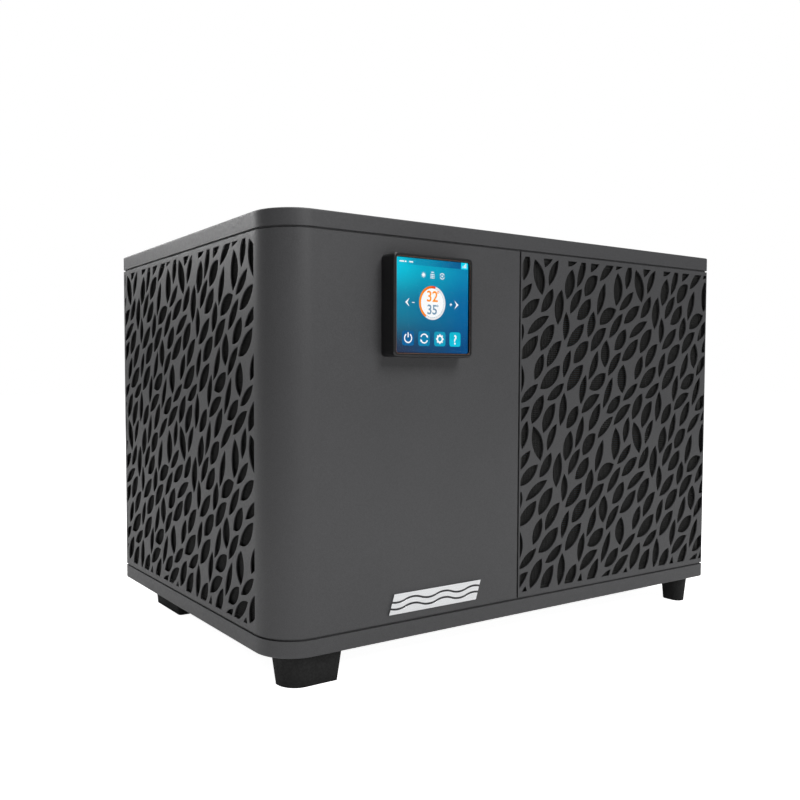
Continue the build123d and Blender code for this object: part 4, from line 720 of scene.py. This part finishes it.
class Screen:
    """Draws thin shapes on the front of the display, in shares of its width."""

    def __init__(self):
        self.low, self.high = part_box("controller_display")
        self.size = self.high.x - self.low.x
        self.face = self.low.y + SCREEN_SINK

    def lift(self, u, v, layer=0):
        """The place of a point of the drawing."""
        x, z = self.low.x + u * self.size, self.high.z - v * self.size
        return Vector((x, self.face - layer * LAYER_STEP, z))

    def plate(self, bm, outline, layer):
        """A thin raised shape, one layer above the last."""
        prism(bm, outline, lambda u, v: self.lift(u, v, layer), Vector((0, LAYER_DEPTH, 0)))

    def sector(self, bm, centre, inner, outer, start, end, layer, steps=48):
        """Part of a ring; angles in degrees, clockwise from the top."""
        count = max(3, int(steps * abs(end - start) / 360))
        for k in range(count):
            a0 = math.radians(start + (end - start) * k / count)
            a1 = math.radians(start + (end - start) * (k + 1) / count)
            corners = [(inner, a0), (outer, a0), (outer, a1), (inner, a1)]
            outline = [(centre[0] + r * math.sin(a), centre[1] - r * math.cos(a)) for r, a in corners]
            self.plate(bm, outline, layer)

    def disc(self, bm, centre, radius, layer, steps=48):
        """A full round shape."""
        outline = [(centre[0] + sine, centre[1] - cosine) for cosine, sine in circle(radius, steps)]
        self.plate(bm, outline, layer)

    def rounded(self, bm, centre, wide, high, corner, layer, steps=6):
        """A rectangle with round corners."""
        outline = []
        for quarter, (sx, sy) in enumerate(((1, -1), (1, 1), (-1, 1), (-1, -1))):
            cx = centre[0] + sx * (wide / 2 - corner)
            cy = centre[1] + sy * (high / 2 - corner)
            for k in range(steps + 1):
                a = math.radians(90 * quarter + 90 * k / steps)
                outline.append((cx + corner * math.sin(a), cy - corner * math.cos(a)))
        self.plate(bm, outline, layer)

    def glyph(self, text, centre, high, layer, name, material):
        """A numeral or sign on the screen."""
        place = self.lift(*centre, layer)
        lettering(text, place, high * self.size, 0, BOLDER, name, material)


def top_strip(left, right):
    """Outline of a stretch of the top bar."""
    return [(left, 0.0), (right, 0.0), (right, BAR_LOW), (left, BAR_LOW)]


def make_screen():
    """The lit picture: gradient, top bar, status signs, dial, arrows and four buttons."""
    screen = Screen()
    white = lit("screen_white", (grey(0.86), grey(0.93)))
    pale = lit("screen_pale", (grey(0.72), grey(0.78)))
    steel_blue = lit("screen_steel_blue", ((0.13, 0.25, 0.36), (0.17, 0.3, 0.42)))
    cyan = lit("screen_cyan", ((0.0, 0.6, 0.78), (0.0, 0.66, 0.84)))
    amber = lit("screen_amber", ((0.95, 0.27, 0.0), (1.0, 0.32, 0.0)))

    bm = bmesh.new()
    screen.rounded(bm, (0.5, 0.5), 1.0, 1.0, 0.02, BACKDROP)
    gradient = screen_picture("screen_gradient", screen.low, screen.high)
    panel = piece_from(bm, "screen_panel", gradient)
    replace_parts(panel, "controller_display")

    bm = bmesh.new()
    screen.plate(bm, top_strip(BAR_LEFT, BAR_RIGHT), FIELD)
    low, high = screen.lift(BAR_LEFT, BAR_LOW), screen.lift(BAR_RIGHT, 0.0)
    blue = across_tones("screen_bar_blue", BAR_TONES, low, high)
    piece_from(bm, "screen_top_bar", blue)
    bm = bmesh.new()
    screen.plate(bm, top_strip(KEY_LEFT, KEY_RIGHT), FIELD)
    piece_from(bm, "screen_corner_key", cyan)

    make_dial(screen, white, pale, steel_blue, amber)
    make_buttons(screen, white)
    make_signs(screen, white)


def make_dial(screen, white, pale, steel_blue, amber):
    """Round temperature dial: disc, ring, coloured arc and two readings."""
    inner, outer = DIAL_RADIUS - DIAL_RING, DIAL_RADIUS
    bm = bmesh.new()
    screen.disc(bm, DIAL_PLACE, inner, SIGN)
    piece_from(bm, "screen_dial_disc", white)
    bm = bmesh.new()
    screen.sector(bm, DIAL_PLACE, inner + DIAL_GAP, outer, RING_START, ARC_START, SIGN)
    piece_from(bm, "screen_dial_ring", pale)
    bm = bmesh.new()
    screen.sector(bm, DIAL_PLACE, inner + DIAL_GAP, outer, ARC_START, ARC_END, SIGN)
    low = screen.lift(DIAL_PLACE[0] - outer, DIAL_PLACE[1] + outer)
    high = screen.lift(DIAL_PLACE[0] + 0.25 * outer, DIAL_PLACE[1] - outer)
    orange = across_tones("screen_orange", ARC_TONES, low, high)
    piece_from(bm, "screen_dial_arc", orange)
    water, target = beside_dial(WATER_READING), beside_dial(TARGET_READING)
    screen.glyph("32", water, 0.118, READING, "screen_reading_water", amber)
    screen.glyph("35", target, 0.105, READING, "screen_reading_target", steel_blue)
    bm = bmesh.new()
    screen.sector(bm, beside_dial(WATER_DEGREE), 0.007, 0.014, 0, 360, READING, 20)
    piece_from(bm, "screen_degree_water", amber)
    bm = bmesh.new()
    screen.sector(bm, beside_dial(TARGET_DEGREE), 0.006, 0.012, 0, 360, READING, 20)
    piece_from(bm, "screen_degree_target", steel_blue)


def beside_dial(step):
    """A place on the display, as a step from the middle of the dial."""
    return DIAL_PLACE[0] + step[0], DIAL_PLACE[1] + step[1]


def arrow_head(screen, bm, tip, direction, size, layer):
    """A small triangle that points along a direction, in degrees clockwise from the top."""
    a = math.radians(direction)
    forward, sideways = (math.sin(a), -math.cos(a)), (math.cos(a), math.sin(a))
    corners = [(size, 0), (-size * 0.5, size * 0.85), (-size * 0.5, -size * 0.85)]
    outline = [[tip[axis] + f * forward[axis] + w * sideways[axis] for axis in range(2)] for f, w in corners]
    screen.plate(bm, outline, layer)


def make_buttons(screen, white):
    """Power, cycle, settings and help."""
    bm = bmesh.new()
    for u in BUTTON_COLUMNS:
        screen.rounded(bm, (u, BUTTON_ROW), BUTTON_SIZE, BUTTON_SIZE, BUTTON_CORNER, FIELD)
    low = screen.lift(BUTTON_COLUMNS[0] - BUTTON_SIZE / 2, BUTTON_ROW + BUTTON_SIZE / 2)
    high = screen.lift(BUTTON_COLUMNS[-1] + BUTTON_SIZE / 2, BUTTON_ROW - BUTTON_SIZE / 2)
    piece_from(bm, "screen_buttons", button_tones("screen_button_blue", low, high))

    bm = bmesh.new()
    reach, stroke = SIGN_REACH, SIGN_STROKE
    power, cycle, gear, question = [(u, BUTTON_ROW) for u in BUTTON_COLUMNS]
    screen.sector(bm, power, reach - stroke, reach, POWER_GAP, 360 - POWER_GAP, SIGN)
    screen.rounded(bm, (power[0], power[1] - 0.034), stroke, 0.056, stroke / 2.1, SIGN)
    middle = reach - stroke / 2
    for start in CYCLE_STARTS:
        end = start + CYCLE_ARC
        screen.sector(bm, cycle, reach - stroke, reach, start, end, SIGN)
        a = math.radians(end + 2)
        tip = (cycle[0] + middle * math.sin(a), cycle[1] - middle * math.cos(a))
        arrow_head(screen, bm, tip, end + 92, 0.017, SIGN)
    hub = reach - 0.7 * stroke
    screen.sector(bm, gear, reach - 2.1 * stroke, hub, 0, 360, SIGN)
    rays(screen, bm, gear, hub, reach, 9)
    piece_from(bm, "screen_button_signs", white)
    screen.glyph("?", question, 0.105, SIGN, "screen_help_sign", white)


def rays(screen, bm, centre, inner, outer, half):
    """Eight short stretches of a ring, as on a cog or a sun."""
    for k in range(8):
        screen.sector(bm, centre, inner, outer, 45 * k - half, 45 * k + half, SIGN)


def make_signs(screen, white):
    """Arrows, plus and minus, status signs, and the dashes and strength bars of the top bar."""
    bm = bmesh.new()
    for side in (-1, 1):
        u, v = beside_dial((side * ARROW_REACH, 0.006))
        tip, back, half, notch = side * 0.034, side * -0.024, 0.048, side * 0.004
        outline = [(u + tip, v), (u + back, v - half), (u + notch, v), (u + back, v + half)]
        screen.plate(bm, outline[::side], SIGN)
        dash = beside_dial((side * DASH_REACH, 0.006))
        screen.rounded(bm, dash, DASH_LONG, DASH_THICK, DASH_CORNER, SIGN)
        if side > 0:
            screen.rounded(bm, dash, DASH_THICK, DASH_LONG, DASH_CORNER, SIGN)
    screen.disc(bm, SUN_PLACE, 0.019, SIGN, 20)
    rays(screen, bm, SUN_PLACE, 0.023, 0.031, 7)
    tank_u, tank_v = TANK_PLACE
    for row in range(3):
        for column in range(3):
            cell = (tank_u + 0.02 * (column - 1), tank_v - 0.012 + 0.019 * row)
            screen.rounded(bm, cell, 0.013, 0.012, 0.002, SIGN, 2)
    screen.rounded(bm, (tank_u, tank_v - 0.036), 0.042, DASH_THICK, DASH_CORNER, SIGN)
    for start in (-78, 102):
        screen.sector(bm, EYE_PLACE, 0.026, 0.034, start, start + 150, SIGN)
    screen.disc(bm, EYE_PLACE, 0.010, SIGN, 16)
    for u, wide in ((0.075, 0.06), (0.125, 0.022), (0.2, 0.05)):
        screen.rounded(bm, (u, 0.042), wide, 0.014, 0.004, SIGN, 3)
    for k in range(3):
        place, tall = (0.922 + 0.02 * k, 0.048 - 0.008 * k), 0.018 + 0.016 * k
        screen.rounded(bm, place, 0.011, tall, 0.003, SIGN, 3)
    piece_from(bm, "screen_signs", white)


# ---------------------------------------------------------------- pressure gauge

def gauge_direction(share):
    """Outward direction on the gauge, for a share of its scale."""
    angle = math.radians(GAUGE_SWEEP * (share - 0.5))
    return Vector((-math.sin(angle), 0, math.cos(angle)))


def make_gauge_face():
    """White dial with ticks over three quarters of a turn and plain numbers."""
    low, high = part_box("gauge_glass")
    needle_low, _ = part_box("gauge_needle")
    centre = Vector(((low.x + high.x) / 2, needle_low.y - GAUGE_DIAL_SINK, (low.z + high.z) / 2))
    radius = (high.x - low.x) / 2 - GAUGE_DIAL_MARGIN
    paper = moulded("gauge_dial_white", (0.75, 0.75, 0.73), 0.5, 1500)
    ink = moulded("gauge_dial_ink", (0.012, 0.012, 0.014), 0.5, 1500)
    bm = bmesh.new()
    thick = Vector((0, GAUGE_DIAL_DEPTH, 0))
    prism(bm, circle(radius, 48), lambda x, z: centre + Vector((x, 0, z)), thick)
    piece_from(bm, "gauge_dial", paper)
    bm = bmesh.new()
    face = centre + thick
    raised = Vector((0, GAUGE_INK_DEPTH, 0))
    for k in range(GAUGE_TICKS + 1):
        out = gauge_direction(k / GAUGE_TICKS)
        main = k * GAUGE_NUMBERS % GAUGE_TICKS == 0
        side = Vector((out.z, 0, -out.x)) * (0.35 * MM if main else 0.18 * MM)
        inner, outer = out * radius * (0.8 if main else 0.88), out * radius * 0.95
        corners = [face + inner - side, face + inner + side, face + outer + side, face + outer - side]
        prism(bm, [(c.x, c.z) for c in corners], lambda x, z: Vector((x, face.y, z)), raised)
    piece_from(bm, "gauge_ticks", ink)
    for k in range(GAUGE_NUMBERS + 1):
        value = GAUGE_STEP * k
        place = face + gauge_direction(k / GAUGE_NUMBERS) * radius * 0.64
        name = f"gauge_number_{value}"
        lettering(str(value), place, GAUGE_NUMBER_HIGH, math.pi, 0, name, ink)


# ---------------------------------------------------------------- stage, light and camera

def make_floor():
    """Plain pale floor that looks brighter than it shines on the object."""
    bm = bmesh.new()
    signs = ((-1, -1), (1, -1), (1, 1), (-1, 1))
    bm.faces.new([bm.verts.new((x * FLOOR_REACH, y * FLOOR_REACH, 0)) for x, y in signs])
    mesh = bpy.data.meshes.new("floor")
    bm.to_mesh(mesh)
    bm.free()
    s = Surface("floor_pale", Specular_IOR_Level=0.1, Emission_Strength=FLOOR_GLOW)
    pale = s.ramp(s.noise(2), ((0.3, grey(0.94)), (0.7, grey(0.96))))
    s.color(pale)
    path = s.add("ShaderNodeLightPath")
    s.join(s.blend(path.outputs["Is Camera Ray"], grey(0.1), pale), s.bsdf.inputs["Emission Color"])
    s.rough(s.noise(3), 0.85, 0.95)
    mesh.materials.append(s.material)
    floor = bpy.data.objects.new("floor", mesh)
    bpy.context.scene.collection.objects.link(floor)


def soft_light(name, place, wide, high, power):
    """A large white soft box that faces the object."""
    lamp = bpy.data.lights.new(name, "AREA")
    lamp.shape = "RECTANGLE"
    lamp.size, lamp.size_y = wide, high
    lamp.energy = power
    holder = bpy.data.objects.new(name, lamp)
    holder.location = place
    aim = Vector(LIGHT_TARGET) - Vector(place)
    holder.rotation_euler = aim.to_track_quat("-Z", "Y").to_euler()
    bpy.context.scene.collection.objects.link(holder)


def make_world():
    """Even white surroundings, dimmer as light than to the eye."""
    world = bpy.data.worlds.new("studio")
    bpy.context.scene.world = world
    world.use_nodes = True
    tree = world.node_tree
    tree.nodes.clear()
    output = tree.nodes.new("ShaderNodeOutputWorld")
    seen, lighting = [tree.nodes.new("ShaderNodeBackground") for _ in range(2)]
    for background, strength in ((seen, 1.0), (lighting, ROOM_LIGHT)):
        background.inputs["Strength"].default_value = strength
        background.inputs["Color"].default_value = (1, 1, 1, 1)
    mix, path = tree.nodes.new("ShaderNodeMixShader"), tree.nodes.new("ShaderNodeLightPath")
    tree.links.new(path.outputs["Is Camera Ray"], mix.inputs["Fac"])
    tree.links.new(lighting.outputs["Background"], mix.inputs[1])
    tree.links.new(seen.outputs["Background"], mix.inputs[2])
    tree.links.new(mix.outputs["Shader"], output.inputs["Surface"])


def make_lights():
    """One box before the cabinet, one behind its left side and one above it."""
    soft_light("front_box", (0.35, -2.6, 2.2), 1.6, 1.6, 55)
    soft_light("side_box", (-1.4, 2.6, 1.6), 1.0, 1.2, 42)
    soft_light("top_box", (0, 0, 3.0), 2.4, 2.4, 46)


def make_camera():
    """Standing to the left of the front, a little higher than the cabinet's middle."""
    lens = bpy.data.cameras.new("camera")
    lens.sensor_width = SENSOR_WIDE
    lens.lens = LENS
    lens.shift_x, lens.shift_y = LENS_SHIFT
    lens.clip_start, lens.clip_end = 0.05, 60
    camera = bpy.data.objects.new("camera", lens)
    camera.location = CAMERA_PLACE
    camera.rotation_euler = (math.radians(CAMERA_TILT), 0, math.radians(CAMERA_TURN))
    bpy.context.scene.collection.objects.link(camera)
    bpy.context.scene.camera = camera


finishes = slot_materials()
make_camera()
make_world()
make_lights()
make_floor()
dress(finishes)
for panel in ("left_wrap_panel", "front_grille_panel", "right_grille_panel"):
    soften(panel, SHEET_EDGE)
for part in ("rear_coil_guard", "lid", "base_pan"):
    soften(part, SHEET_EDGE)
soften("wave_badge", BADGE_EDGE)
make_nets(finishes["guard_black"])
make_coil(finishes)
make_screen()
make_gauge_face()
bpy.context.scene.view_settings.view_transform = "Standard"
